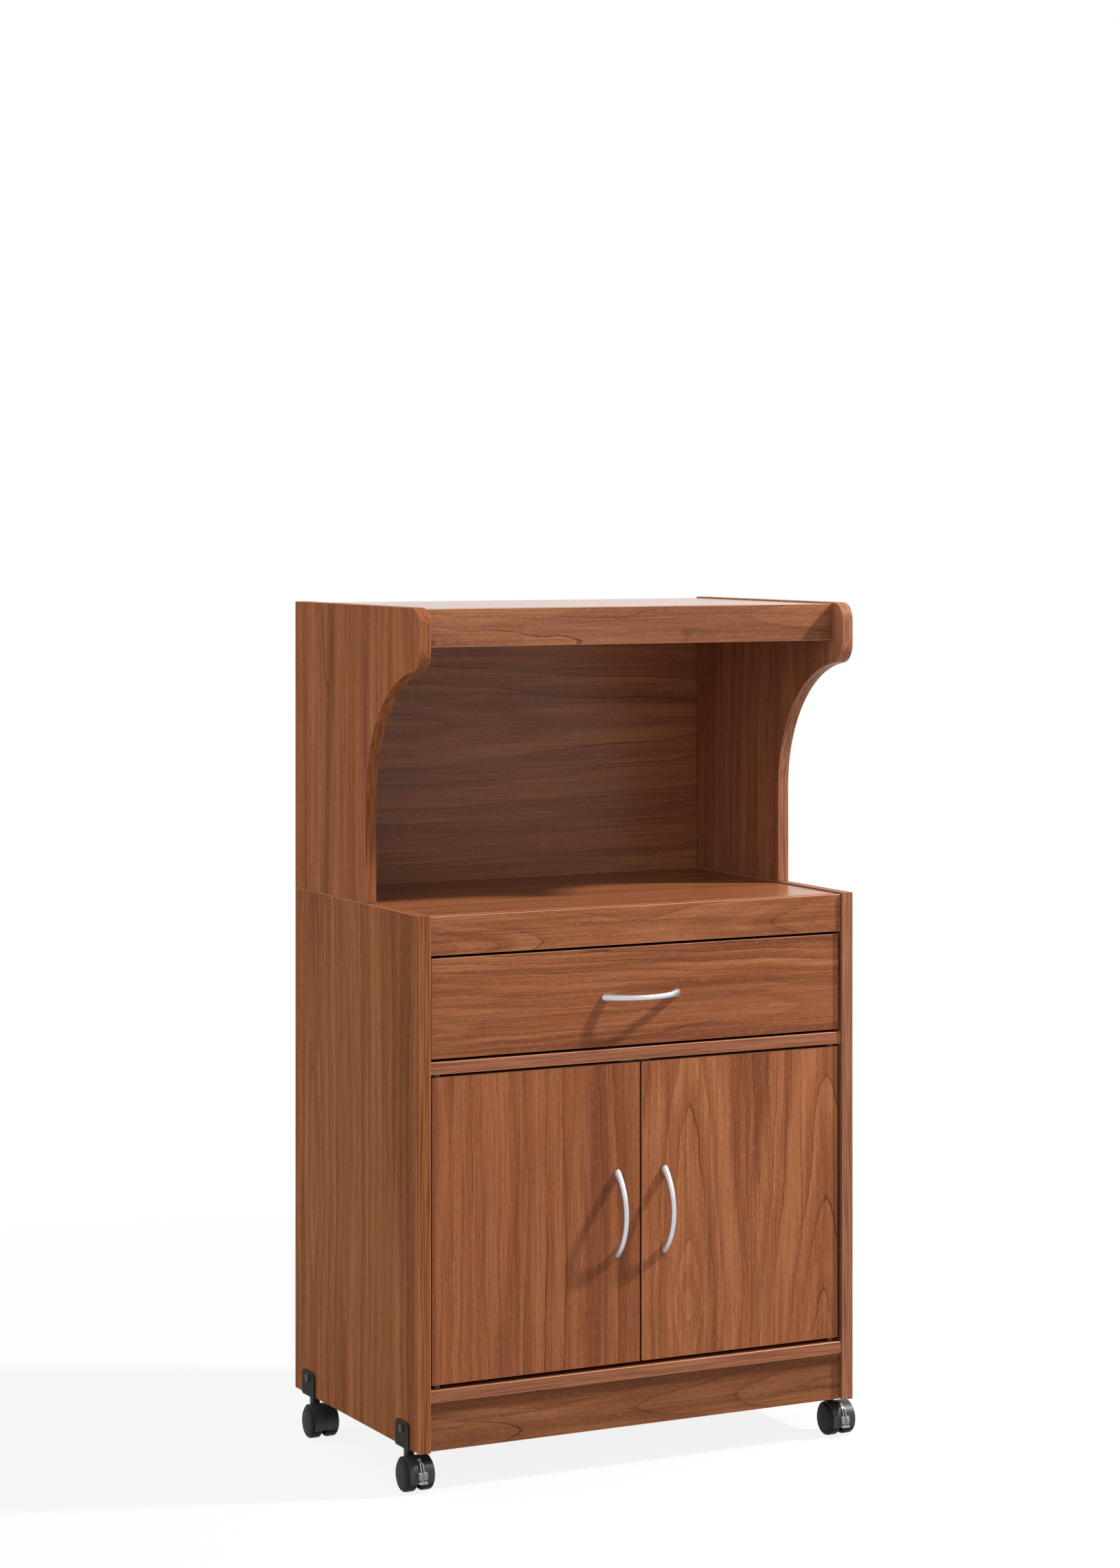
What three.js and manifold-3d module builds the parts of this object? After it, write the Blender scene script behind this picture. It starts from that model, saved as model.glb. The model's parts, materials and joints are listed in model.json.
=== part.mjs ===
// A rolling microwave cart: a base cupboard with a drawer over two doors, a hutch with curved
// sides over its worktop, and four twin-wheel casters. Millimetres, +Z up, floor at Z = 0,
// +X to the right, the front faces -Y.

import * as THREE from 'three';
import { mergeVertices } from 'three/addons/utils/BufferGeometryUtils.js';
import Module from 'manifold-3d';

const wasm = await Module();
wasm.setup();

// ---- driving dimensions: cabinet ----

const WIDTH = 600; // over the side panels
const DEPTH = 400; // of the base side panels
const BOARD = 15; // laminated board
const BASE_SIDE_HEIGHT = 645;
const BUTT_GAP = 0.2; // between pieces that touch
const EDGE_EASE = 0.6; // chamfer on the arrises of a board

const WORKTOP_DROP = 2; // of the worktop below the base sides
const APRON_HEIGHT = 47;
const APRON_RECESS = 4; // behind the side panels' front edges
const FRONT_RECESS = 5.5; // of the drawer front and the doors
const DRAWER_FRONT_HEIGHT = 121;
const DRAWER_SIDE_GAP = 3.2;
const DRAWER_EDGE_GAP = 3.5; // over and under the drawer front
const DIVIDER_RECESS = 3.5;
const DOOR_SIDE_GAP = 4.2;
const DOOR_MIDDLE_GAP = 3.5;
const DOOR_TOP_GAP = 3.5;
const DOOR_BOTTOM_GAP = 5;
const BOTTOM_RECESS = 1.5;
const KICK_HEIGHT = 59;
const KICK_RECESS = 6.5;
const BACK_PANEL = 3;
const BACK_PANEL_MARGIN = 2; // in from the outline that it closes
const BACK_PANEL_LAP = 8; // of the hutch back below the base's top

// ---- driving dimensions: hutch ----

const HUTCH_HEIGHT = 369; // of its side panels, above the base sides
const HUTCH_FOOT_DEPTH = 231.5; // of its side panels where they stand on the base
const NOSE_HEIGHT = 76; // from the curve's highest point to the top
const NOSE_TOP_RADIUS = 22;
const NOSE_BOTTOM_RADIUS = 25;
const HUTCH_TOP_DROP = 2;
const FASCIA_HEIGHT = 46.5;
const FASCIA_RECESS = 26.5;
const OUTLINE_STEPS = 7; // pairs of steps in each arc of the hutch sides' outline

// ---- driving dimensions: handles ----

const HANDLE_CENTRES = 96; // between the two feet
const HANDLE_REACH = 28.5; // out from the front that it is on
const HANDLE_MIDDLE = 7; // diameter at the middle of the bow
const HANDLE_END = 9.4; // diameter at the feet
const DOOR_HANDLE_INSET = 31; // from the door's free edge
const HANDLE_RINGS = 16;
const HANDLE_SIDES = 12;

// ---- driving dimensions: drawer and slides ----

const DRAWER_SIDE_HEIGHT = 90;
const DRAWER_BOARD = 12;
const DRAWER_BOTTOM = 3;
const GROOVE_LIFT = 8; // of the bottom's groove above the drawer sides' lower edge
const GROOVE_DEPTH = 6;
const GROOVE_PLAY = 0.4; // more than the bottom's thickness
const SLIDE_SPACE = 13; // between cabinet side and drawer side
const SLIDE_STEEL = 1.2;
const SLIDE_STOCK_STEP = 50; // between the lengths that slides are made in
const SLIDE_REAR_ROOM = 5; // at least this much behind a slide
const SLIDE_LIFT = 8; // of the running track above the divider shelf
const RAIL_PLAY = 1.4; // between the cabinet rail's flanges and the drawer rail
const SLIDE_SETBACK = 2; // behind the back of the drawer front
const SLIDE_LIP = 11; // under the drawer side
const ROLLER_RADIUS = 8;
const ROLLER_WIDTH = 6;
const ROLLER_PLAY = 0.15; // over and under a roller
const ROLLER_AXLE_RADIUS = 2;
const ROLLER_END = 11; // from a rail's end to its roller's axle
const CHANNEL_PLAY = 0.45; // over the drawer rail's flange

// ---- driving dimensions: door hardware ----

const PIN_INSET = 8; // of the pivot from the door's outer edge
const PIN_RADIUS = 3;
const PIN_PLAY = 0.15; // round a pin in its hole
const PIN_FLANGE_RADIUS = 5.5;
const PIN_IN_DOOR = 20;
const PIN_IN_BOARD = 8;
const CATCH_WIDTH = 46;
const CATCH_DEPTH = 14;
const CATCH_HEIGHT = 13;
const CATCH_PROUD = 0.8; // of its magnets
const STRIKE_WIDTH = 16;
const STRIKE_HEIGHT = 11;
const STRIKE_THICKNESS = 1;
const CATCH_PITCH = 24; // between its two magnets

// ---- driving dimensions: casters ----

const BRACKET_INSET = 49; // of the stem from the side panel's front or back edge
const BRACKET_WIDTH = 40;
const BRACKET_STEEL = 2;
const BRACKET_TAB_HEIGHT = 31; // above the side panel's lower edge, on the outside
const BRACKET_LIP_HEIGHT = 10; // the same, on the inside
const BRACKET_CORNER = 7;
const BRACKET_BEND = 3;
const SCREW_HEIGHT = 22; // of the bracket's screw above the side panel's lower edge
const SCREW_HEAD_RADIUS = 5.2;
const SCREW_HEAD_HEIGHT = 2.6;
const SCREW_SHANK_RADIUS = 2;
const SCREW_SHANK_LENGTH = 12; // in the board
const SCREW_PLAY = 0.3;
const STEM_RADIUS = 4;
const STEM_LENGTH = 17; // below the bracket
const STEM_PLAY = 0.15;
const COLLAR_RADIUS = 6;
const COLLAR_HEIGHT = 0.6;
const SWIVEL_PLAY = 0.4; // between the collar and the housing's boss

const WHEEL_RADIUS = 20.5;
const WHEEL_HEADROOM = 9; // between the wheels' tops and the side panels
const WHEEL_WIDTH = 15;
const WHEEL_OUTER_ROUND = 4;
const WHEEL_INNER_ROUND = 3; // and the thickness of its hollow rim
const WHEEL_DOME = 0.7; // of its outer face
const WHEEL_HUB_RADIUS = 5;
const WHEEL_HOLLOW = 8; // depth of the hollow behind the face
const WHEEL_STEPS = 22;
const STEM_LAP = 1.5; // of the stem's axis inside the line of the treads
const WEB_THICKNESS = 6; // between the wheels
const WEB_HUB_RADIUS = 11; // round the axle
const PLAIN_WEB_HUB_RADIUS = 8; // the same on a caster without a brake
const WHEEL_PLAY = 0.5; // between a wheel and the web
const HOOD_PLAY = 0.5; // between the treads and the hood
const HOOD_WALL = 1.2;
const HOOD_WIDTH = 31;
const HOOD_FRONT = 22; // degrees that it reaches below the axle, in front
const HOOD_REAR = 10; // the same, behind
const BOSS_RADIUS = 6.5;
const BOSS_DEPTH = 20; // of the boss below its top
const AXLE_RADIUS = 2.5;
const AXLE_PLAY = 0.15;
const AXLE_IN_WHEEL = 12;

const LEVER_PIVOT_ANGLE = 58; // degrees above the axle, seen from it, in front
const LEVER_PIVOT_REACH = 14.5; // from the axle
const LEVER_TRUNNION = 2.5; // radius
const LEVER_STEM_WIDTH = 4;
const LEVER_STEM = 1.4; // thickness of the strip along the hood
const LEVER_PAD_WIDTH = 11;
const LEVER_PAD = 2.6; // thickness
const LEVER_PAD_TOP = 14; // degrees above the axle
const LEVER_PAD_BOTTOM = 17; // degrees below it
const LEVER_LIP = 1.8; // how far the pad's lower lip stands out from it
const LEVER_LIP_SPAN = 5; // degrees
const LEVER_GAP = 0.6; // off the hood
const LEVER_SLOT_PLAY = 0.5; // on each side of its arm
const PAD_GROOVE = 1.2; // width of the grooves between its ribs
const PAD_GROOVE_DEPTH = 0.8;

// ---- places worked out from them ----

const HANDLE_PROUD = HANDLE_REACH - FRONT_RECESS; // of the side panels' front edges
const FRONT = -(DEPTH + BACK_PANEL + BUTT_GAP - HANDLE_PROUD) / 2; // the side panels' front edges
const BACK = FRONT + DEPTH;
const OUTSIDE = WIDTH / 2;
const INSIDE = OUTSIDE - BOARD;
const SIDE_BOTTOM = 2 * WHEEL_RADIUS + WHEEL_HEADROOM;
const CASTER_TRAIL = WHEEL_RADIUS - STEM_LAP; // of the axle ahead of the stem
const BASE_TOP = SIDE_BOTTOM + BASE_SIDE_HEIGHT;
const HUTCH_TOP = BASE_TOP + HUTCH_HEIGHT;

const FRONT_FACE = FRONT + FRONT_RECESS;
const FRONT_BACK = FRONT_FACE + BOARD; // the back of the doors and the drawer front
const WORKTOP_TOP = BASE_TOP - WORKTOP_DROP;
const APRON_BOTTOM = WORKTOP_TOP - APRON_HEIGHT;
const DRAWER_TOP = APRON_BOTTOM - DRAWER_EDGE_GAP;
const DRAWER_LOW = DRAWER_TOP - DRAWER_FRONT_HEIGHT;
const DIVIDER_TOP = DRAWER_LOW - DRAWER_EDGE_GAP;
const DIVIDER_LOW = DIVIDER_TOP - BOARD;
const DOOR_TOP = DIVIDER_LOW - DOOR_TOP_GAP;
const BOTTOM_LOW = SIDE_BOTTOM + KICK_HEIGHT + BUTT_GAP;
const BOTTOM_TOP = BOTTOM_LOW + BOARD;
const DOOR_LOW = BOTTOM_TOP + DOOR_BOTTOM_GAP;
const DOOR_OUTER = INSIDE - DOOR_SIDE_GAP;
const DOOR_INNER = DOOR_MIDDLE_GAP / 2;
const PIN_X = DOOR_OUTER - PIN_INSET;
const PIN_Y = FRONT_FACE + BOARD / 2;
const AXLE_HEIGHT = WHEEL_RADIUS * Math.cos(Math.PI / WHEEL_STEPS); // a wheel stands on one flat

const SIDES = { left: -1, right: 1 };
const ENDS = { front: FRONT + BRACKET_INSET, rear: BACK - BRACKET_INSET };
const STEM_X = OUTSIDE - BOARD / 2;

// ---- finishes ----

const finish = {
  wood: () => new THREE.MeshStandardMaterial({ color: 0x965c3e, roughness: 0.42 }),
  hardboard: () => new THREE.MeshStandardMaterial({ color: 0x8a543a, roughness: 0.55 }),
  satinMetal: () => new THREE.MeshStandardMaterial({ color: 0xc9cacc, roughness: 0.28, metalness: 1 }),
  blackSteel: () => new THREE.MeshStandardMaterial({ color: 0x24211f, roughness: 0.5, metalness: 0.3 }),
  blackPlastic: () => new THREE.MeshStandardMaterial({ color: 0x1d1b1a, roughness: 0.45 }),
  wheel: () => new THREE.MeshStandardMaterial({ color: 0x22201c, roughness: 0.5 }),
  leverPlastic: () => new THREE.MeshStandardMaterial({ color: 0x8b8987, roughness: 0.4 }),
  slideSteel: () => new THREE.MeshStandardMaterial({ color: 0x4a3226, roughness: 0.4, metalness: 0.2 }),
  plainSteel: () => new THREE.MeshStandardMaterial({ color: 0xb4b4b6, roughness: 0.35, metalness: 1 }),
  nylon: () => new THREE.MeshStandardMaterial({ color: 0xd8d5cc, roughness: 0.5 }),
  catchPlastic: () => new THREE.MeshStandardMaterial({ color: 0x8f8d8b, roughness: 0.5 }),
};

// ---- helpers ----

const radians = THREE.MathUtils.degToRad;
const cart = new THREE.Group();

function place(parent, name, geometry, material, x = 0, y = 0, z = 0) {
  const mesh = new THREE.Mesh(geometry, material);
  mesh.name = name;
  mesh.position.set(x, y, z);
  parent.add(mesh);
  return mesh;
}

// A closed geometry as a solid that can be joined and cut.
function solid(geometry) {
  const bare = geometry.clone();
  bare.deleteAttribute('normal');
  bare.deleteAttribute('uv');
  const merged = mergeVertices(bare, 1e-4);
  return new wasm.Manifold(new wasm.Mesh({
    numProp: 3,
    vertProperties: new Float32Array(merged.attributes.position.array),
    triVerts: new Uint32Array(merged.index.array),
  }));
}

function geometryOf(body) {
  const mesh = body.getMesh();
  const geometry = new THREE.BufferGeometry();
  geometry.setAttribute('position', new THREE.BufferAttribute(mesh.vertProperties, 3));
  geometry.setIndex(new THREE.BufferAttribute(mesh.triVerts, 1));
  return geometry;
}

function join(first, ...others) {
  return others.reduce((body, other) => body.add(other), first);
}

function cut(first, ...others) {
  return others.reduce((body, other) => body.subtract(other), first);
}

// The three ways to stand an outline up: its normal along X, Y or Z.
const alongX = new THREE.Matrix4().set(0, 0, 1, 0, 1, 0, 0, 0, 0, 1, 0, 0, 0, 0, 0, 1);
const alongY = new THREE.Matrix4().set(1, 0, 0, 0, 0, 0, -1, 0, 0, 1, 0, 0, 0, 0, 0, 1);

// Extrudes an outline in (Y, Z) along X, from x to x + width.
function extrudeX(outline, x, width, steps = 3) {
  const geometry = new THREE.ExtrudeGeometry(outline, {
    depth: width, bevelEnabled: false, curveSegments: steps,
  });
  return geometry.applyMatrix4(alongX).translate(x, 0, 0);
}

// Extrudes an outline in (X, Z) along Y, from y to y + length.
function extrudeY(outline, y, length, steps = 2) {
  const geometry = new THREE.ExtrudeGeometry(outline, {
    depth: length, bevelEnabled: false, curveSegments: steps,
  });
  return geometry.applyMatrix4(alongY).translate(0, y + length, 0);
}

// A cylinder along X or Z whose low end is at the point given.
function rodX(radius, length, x, y, z, steps = 16) {
  return new THREE.CylinderGeometry(radius, radius, length, steps)
    .rotateZ(-Math.PI / 2).translate(x + length / 2, y, z);
}

function rodZ(radius, length, x, y, z, steps = 16) {
  return new THREE.CylinderGeometry(radius, radius, length, steps)
    .rotateX(Math.PI / 2).translate(x, y, z + length / 2);
}

function boxAt(x, y, z, width, depth, height) {
  return new THREE.BoxGeometry(width, depth, height)
    .translate(x + width / 2, y + depth / 2, z + height / 2);
}

function rectangle(width, height) {
  const outline = new THREE.Shape();
  outline.moveTo(0, 0);
  outline.lineTo(width, 0);
  outline.lineTo(width, height);
  outline.lineTo(0, height);
  return outline;
}

// An outline given thickness, with its arrises eased.
function slab(outline, thickness, steps = 1) {
  const geometry = new THREE.ExtrudeGeometry(outline, {
    depth: thickness - 2 * EDGE_EASE,
    bevelEnabled: true,
    bevelThickness: EDGE_EASE,
    bevelSize: EDGE_EASE,
    bevelOffset: -EDGE_EASE,
    bevelSegments: 1,
    curveSegments: steps,
  });
  return geometry.translate(0, 0, EDGE_EASE);
}

// A board between pairs of limits. The thinnest way through it is its thickness.
function board(name, x, y, z, material = finish.wood()) {
  const width = x[1] - x[0];
  const depth = y[1] - y[0];
  const height = z[1] - z[0];
  const thinnest = Math.min(width, depth, height);
  let geometry = slab(rectangle(width, depth), height);
  if (thinnest === width) geometry = slab(rectangle(depth, height), width).applyMatrix4(alongX);
  if (thinnest === depth) {
    geometry = slab(rectangle(width, height), depth).applyMatrix4(alongY).translate(0, depth, 0);
  }
  return place(cart, name, geometry, material, x[0], y[0], z[0]);
}

// Takes tools, given in the cart's frame, out of a placed mesh.
function machine(mesh, ...tools) {
  const { x, y, z } = mesh.position;
  const moved = tools.map((tool) => solid(tool.translate(-x, -y, -z)));
  mesh.geometry = geometryOf(cut(solid(mesh.geometry), ...moved));
}

function revolve(points, steps) {
  return new THREE.LatheGeometry(points.map(([r, h]) => new THREE.Vector2(r, h)), steps);
}

// Points on a quarter round, from one angle to another, both in degrees.
function round(centreR, centreH, radius, from, to, steps) {
  return Array.from({ length: steps + 1 }, (_, i) => {
    const angle = radians(from + ((to - from) * i) / steps);
    return [centreR + radius * Math.cos(angle), centreH + radius * Math.sin(angle)];
  });
}

// ---- base cupboard ----

function baseSides() {
  for (const [side, sign] of Object.entries(SIDES)) {
    const x = sign < 0 ? [-OUTSIDE, -INSIDE] : [INSIDE, OUTSIDE];
    const panel = board(`base_side_${side}`, x, [FRONT, BACK], [SIDE_BOTTOM, BASE_TOP]);
    const depth = SCREW_SHANK_LENGTH + SCREW_PLAY;
    const start = sign < 0 ? -OUTSIDE - 1 : OUTSIDE - depth;
    const holes = Object.values(ENDS).map((y) => rodX(
      SCREW_SHANK_RADIUS + SCREW_PLAY, depth + 1, start, y, SIDE_BOTTOM + SCREW_HEIGHT, 12,
    ));
    machine(panel, ...holes);
  }
}

function baseBoards() {
  const between = [-INSIDE + BUTT_GAP, INSIDE - BUTT_GAP];
  const apronBack = FRONT + APRON_RECESS + BOARD;
  board('worktop', between, [apronBack + BUTT_GAP, BACK], [WORKTOP_TOP - BOARD, WORKTOP_TOP]);
  board('worktop_apron', between, [apronBack - BOARD, apronBack], [APRON_BOTTOM, WORKTOP_TOP]);
  const divider = board('divider_shelf', between, [FRONT + DIVIDER_RECESS, BACK],
    [DIVIDER_LOW, DIVIDER_TOP]);
  const bottom = board('base_bottom', between, [FRONT + BOTTOM_RECESS, BACK],
    [BOTTOM_LOW, BOTTOM_TOP]);
  for (const sign of Object.values(SIDES)) {
    const radius = PIN_RADIUS + PIN_PLAY;
    const depth = PIN_IN_BOARD + PIN_PLAY;
    machine(divider, rodZ(radius, depth + 1, sign * PIN_X, PIN_Y, DIVIDER_LOW - 1));
    machine(bottom, rodZ(radius, depth + 1, sign * PIN_X, PIN_Y, BOTTOM_TOP - depth));
  }
  board('kick_panel', between, [FRONT + KICK_RECESS, FRONT + KICK_RECESS + BOARD],
    [SIDE_BOTTOM + BUTT_GAP, SIDE_BOTTOM + KICK_HEIGHT]);
}

function backPanels() {
  const across = [-OUTSIDE + BACK_PANEL_MARGIN, OUTSIDE - BACK_PANEL_MARGIN];
  const behind = [BACK + BUTT_GAP, BACK + BUTT_GAP + BACK_PANEL];
  const seam = BASE_TOP - BACK_PANEL_LAP;
  board('base_back', across, behind, [BOTTOM_LOW, seam - BUTT_GAP], finish.hardboard());
  board('hutch_back', across, behind, [seam, HUTCH_TOP - BACK_PANEL_MARGIN], finish.hardboard());
}

// ---- hutch ----

// From the foot's back corner: up the back, over the nose, round the concave curve and down.
// The curve is a quarter circle about a point level with the nose's front; the nose's lower
// corner is a round that touches both the front and the curve.
function hutchSideOutline() {
  const sweep = DEPTH - HUTCH_FOOT_DEPTH;
  const curveCentre = HUTCH_HEIGHT - NOSE_HEIGHT - sweep;
  const noseCentre = curveCentre + Math.sqrt(sweep * sweep + 2 * sweep * NOSE_BOTTOM_RADIUS);
  const touch = Math.atan2(noseCentre - curveCentre, NOSE_BOTTOM_RADIUS);
  const outline = new THREE.Shape();
  outline.moveTo(DEPTH, 0);
  outline.lineTo(DEPTH, HUTCH_HEIGHT);
  outline.lineTo(NOSE_TOP_RADIUS, HUTCH_HEIGHT);
  outline.absarc(NOSE_TOP_RADIUS, HUTCH_HEIGHT - NOSE_TOP_RADIUS, NOSE_TOP_RADIUS,
    Math.PI / 2, Math.PI, false);
  outline.lineTo(0, noseCentre);
  outline.absarc(NOSE_BOTTOM_RADIUS, noseCentre, NOSE_BOTTOM_RADIUS, Math.PI, Math.PI + touch, false);
  outline.absarc(0, curveCentre, sweep, touch, 0, true);
  outline.lineTo(sweep, 0);
  return outline;
}

function hutch() {
  const foot = BASE_TOP + BUTT_GAP;
  for (const [side, sign] of Object.entries(SIDES)) {
    const x = sign < 0 ? -OUTSIDE : INSIDE;
    const geometry = slab(hutchSideOutline(), BOARD, OUTLINE_STEPS).applyMatrix4(alongX);
    place(cart, `hutch_side_${side}`, geometry, finish.wood(), x, FRONT, foot);
  }
  const between = [-INSIDE + BUTT_GAP, INSIDE - BUTT_GAP];
  const top = foot + HUTCH_HEIGHT - HUTCH_TOP_DROP;
  const fasciaBack = FRONT + FASCIA_RECESS + BOARD;
  board('hutch_top', between, [fasciaBack + BUTT_GAP, BACK], [top - BOARD, top]);
  board('hutch_fascia', between, [fasciaBack - BOARD, fasciaBack], [top - FASCIA_HEIGHT, top]);
}

// ---- handles ----

// A bow: a round bar along an arc, thinner in the middle, whose ends are cut flush with the
// face that it stands on. It runs along X and stands out towards -Y.
function bowHandle() {
  const half = HANDLE_CENTRES / 2;
  const rise = HANDLE_REACH - HANDLE_MIDDLE / 2;
  const radius = (half * half + rise * rise) / (2 * rise);
  const reach = Math.asin(half / radius);
  const positions = [];
  for (let ring = 0; ring <= HANDLE_RINGS; ring += 1) {
    const share = (2 * ring) / HANDLE_RINGS - 1;
    const angle = share * reach;
    const bar = (HANDLE_MIDDLE + (HANDLE_END - HANDLE_MIDDLE) * share * share) / 2;
    const outward = new THREE.Vector3(Math.sin(angle), -Math.cos(angle), 0);
    const centre = outward.clone().multiplyScalar(radius).add(new THREE.Vector3(0, radius - rise, 0));
    const along = new THREE.Vector3(Math.cos(angle), Math.sin(angle), 0);
    for (let corner = 0; corner < HANDLE_SIDES; corner += 1) {
      const turn = (2 * Math.PI * corner) / HANDLE_SIDES;
      const point = centre.clone()
        .addScaledVector(outward, bar * Math.cos(turn))
        .add(new THREE.Vector3(0, 0, bar * Math.sin(turn)));
      const isEnd = ring === 0 || ring === HANDLE_RINGS;
      if (isEnd) point.addScaledVector(along, (-BUTT_GAP - point.y) / along.y);
      positions.push(point.x, point.y, point.z);
    }
  }
  const faces = [];
  for (let ring = 0; ring < HANDLE_RINGS; ring += 1) {
    for (let corner = 0; corner < HANDLE_SIDES; corner += 1) {
      const a = ring * HANDLE_SIDES + corner;
      const b = ring * HANDLE_SIDES + ((corner + 1) % HANDLE_SIDES);
      faces.push(a, a + HANDLE_SIDES, b, b, a + HANDLE_SIDES, b + HANDLE_SIDES);
    }
  }
  const last = HANDLE_RINGS * HANDLE_SIDES;
  for (let corner = 1; corner < HANDLE_SIDES - 1; corner += 1) {
    faces.push(0, corner, corner + 1);
    faces.push(last, last + corner + 1, last + corner);
  }
  const geometry = new THREE.BufferGeometry();
  geometry.setAttribute('position', new THREE.Float32BufferAttribute(positions, 3));
  geometry.setIndex(faces);
  return geometry;
}

// ---- doors ----

function doors() {
  const middle = (DOOR_LOW + DOOR_TOP) / 2;
  for (const [side, sign] of Object.entries(SIDES)) {
    const x = sign < 0 ? [-DOOR_OUTER, -DOOR_INNER] : [DOOR_INNER, DOOR_OUTER];
    const door = board(`door_${side}`, x, [FRONT_FACE, FRONT_BACK], [DOOR_LOW, DOOR_TOP]);
    const radius = PIN_RADIUS + PIN_PLAY;
    const depth = PIN_IN_DOOR + PIN_PLAY;
    machine(door,
      rodZ(radius, depth + 1, sign * PIN_X, PIN_Y, DOOR_TOP - depth),
      rodZ(radius, depth + 1, sign * PIN_X, PIN_Y, DOOR_LOW - 1));
    const handleX = sign * (DOOR_INNER + DOOR_HANDLE_INSET);
    const handle = place(cart, `door_handle_${side}`, bowHandle(), finish.satinMetal(),
      handleX, FRONT_FACE, middle);
    handle.rotation.y = Math.PI / 2;
    pivotPin(`door_pin_top_${side}`, sign * PIN_X, DOOR_TOP, DOOR_TOP_GAP, 1);
    pivotPin(`door_pin_bottom_${side}`, sign * PIN_X, DOOR_LOW, DOOR_BOTTOM_GAP, -1);
  }
}

// A pin pressed into a door's edge, with a flange that keeps the gap to the board it turns in.
function pivotPin(name, x, doorEdge, gap, way) {
  const flange = gap - 2 * BUTT_GAP;
  const geometry = revolve([
    [0, -PIN_IN_DOOR],
    [PIN_RADIUS, -PIN_IN_DOOR],
    [PIN_RADIUS, BUTT_GAP],
    [PIN_FLANGE_RADIUS, BUTT_GAP],
    [PIN_FLANGE_RADIUS, BUTT_GAP + flange],
    [PIN_RADIUS, BUTT_GAP + flange],
    [PIN_RADIUS, gap + PIN_IN_BOARD],
    [0, gap + PIN_IN_BOARD],
  ], 12);
  const pin = place(cart, name, geometry, finish.nylon(), x, PIN_Y, doorEdge);
  pin.rotation.x = (way * Math.PI) / 2;
}

// Two magnets in one housing under the divider shelf, and a steel plate on each door.
function doorCatch() {
  const strikeFront = FRONT_BACK + BUTT_GAP;
  const magnetFront = strikeFront + STRIKE_THICKNESS + BUTT_GAP;
  const bodyFront = magnetFront + CATCH_PROUD;
  const top = DIVIDER_LOW - BUTT_GAP;
  const low = top - CATCH_HEIGHT;
  const magnetWidth = STRIKE_WIDTH - 2;
  const magnetHeight = STRIKE_HEIGHT - 3;
  const middle = (low + DOOR_TOP) / 2;
  const body = boxAt(-CATCH_WIDTH / 2, bodyFront, low, CATCH_WIDTH, CATCH_DEPTH, CATCH_HEIGHT);
  const magnets = Object.values(SIDES).map((sign) => solid(boxAt(
    (sign * CATCH_PITCH - magnetWidth) / 2, magnetFront, middle - magnetHeight / 2,
    magnetWidth, CATCH_PROUD + 1, magnetHeight,
  )));
  place(cart, 'door_catch', geometryOf(join(solid(body), ...magnets)), finish.catchPlastic());
  for (const [side, sign] of Object.entries(SIDES)) {
    const plate = boxAt((sign * CATCH_PITCH - STRIKE_WIDTH) / 2, strikeFront,
      middle - STRIKE_HEIGHT / 2, STRIKE_WIDTH, STRIKE_THICKNESS, STRIKE_HEIGHT);
    place(cart, `door_strike_${side}`, plate, finish.plainSteel());
  }
}

// ---- drawer and its roller slides ----

const TRACK_Z = DIVIDER_TOP + SLIDE_LIFT; // top of the cabinet rail's lower flange
const SLIDE_FRONT = FRONT_BACK + SLIDE_SETBACK;
const ROLLER_Z = ROLLER_RADIUS + ROLLER_PLAY; // above the track
const FLANGE_Z = ROLLER_Z + ROLLER_RADIUS + ROLLER_PLAY; // underside of the drawer rail's flange
const DRAWER_OUTER = INSIDE - SLIDE_SPACE;
const DRAWER_SIDE_LOW = TRACK_Z + BUTT_GAP;
const DRAWER_BOX_FRONT = FRONT_BACK + BUTT_GAP;
const SLIDE_LENGTH = SLIDE_STOCK_STEP
  * Math.floor((BACK - SLIDE_FRONT - SLIDE_REAR_ROOM) / SLIDE_STOCK_STEP);

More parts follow.
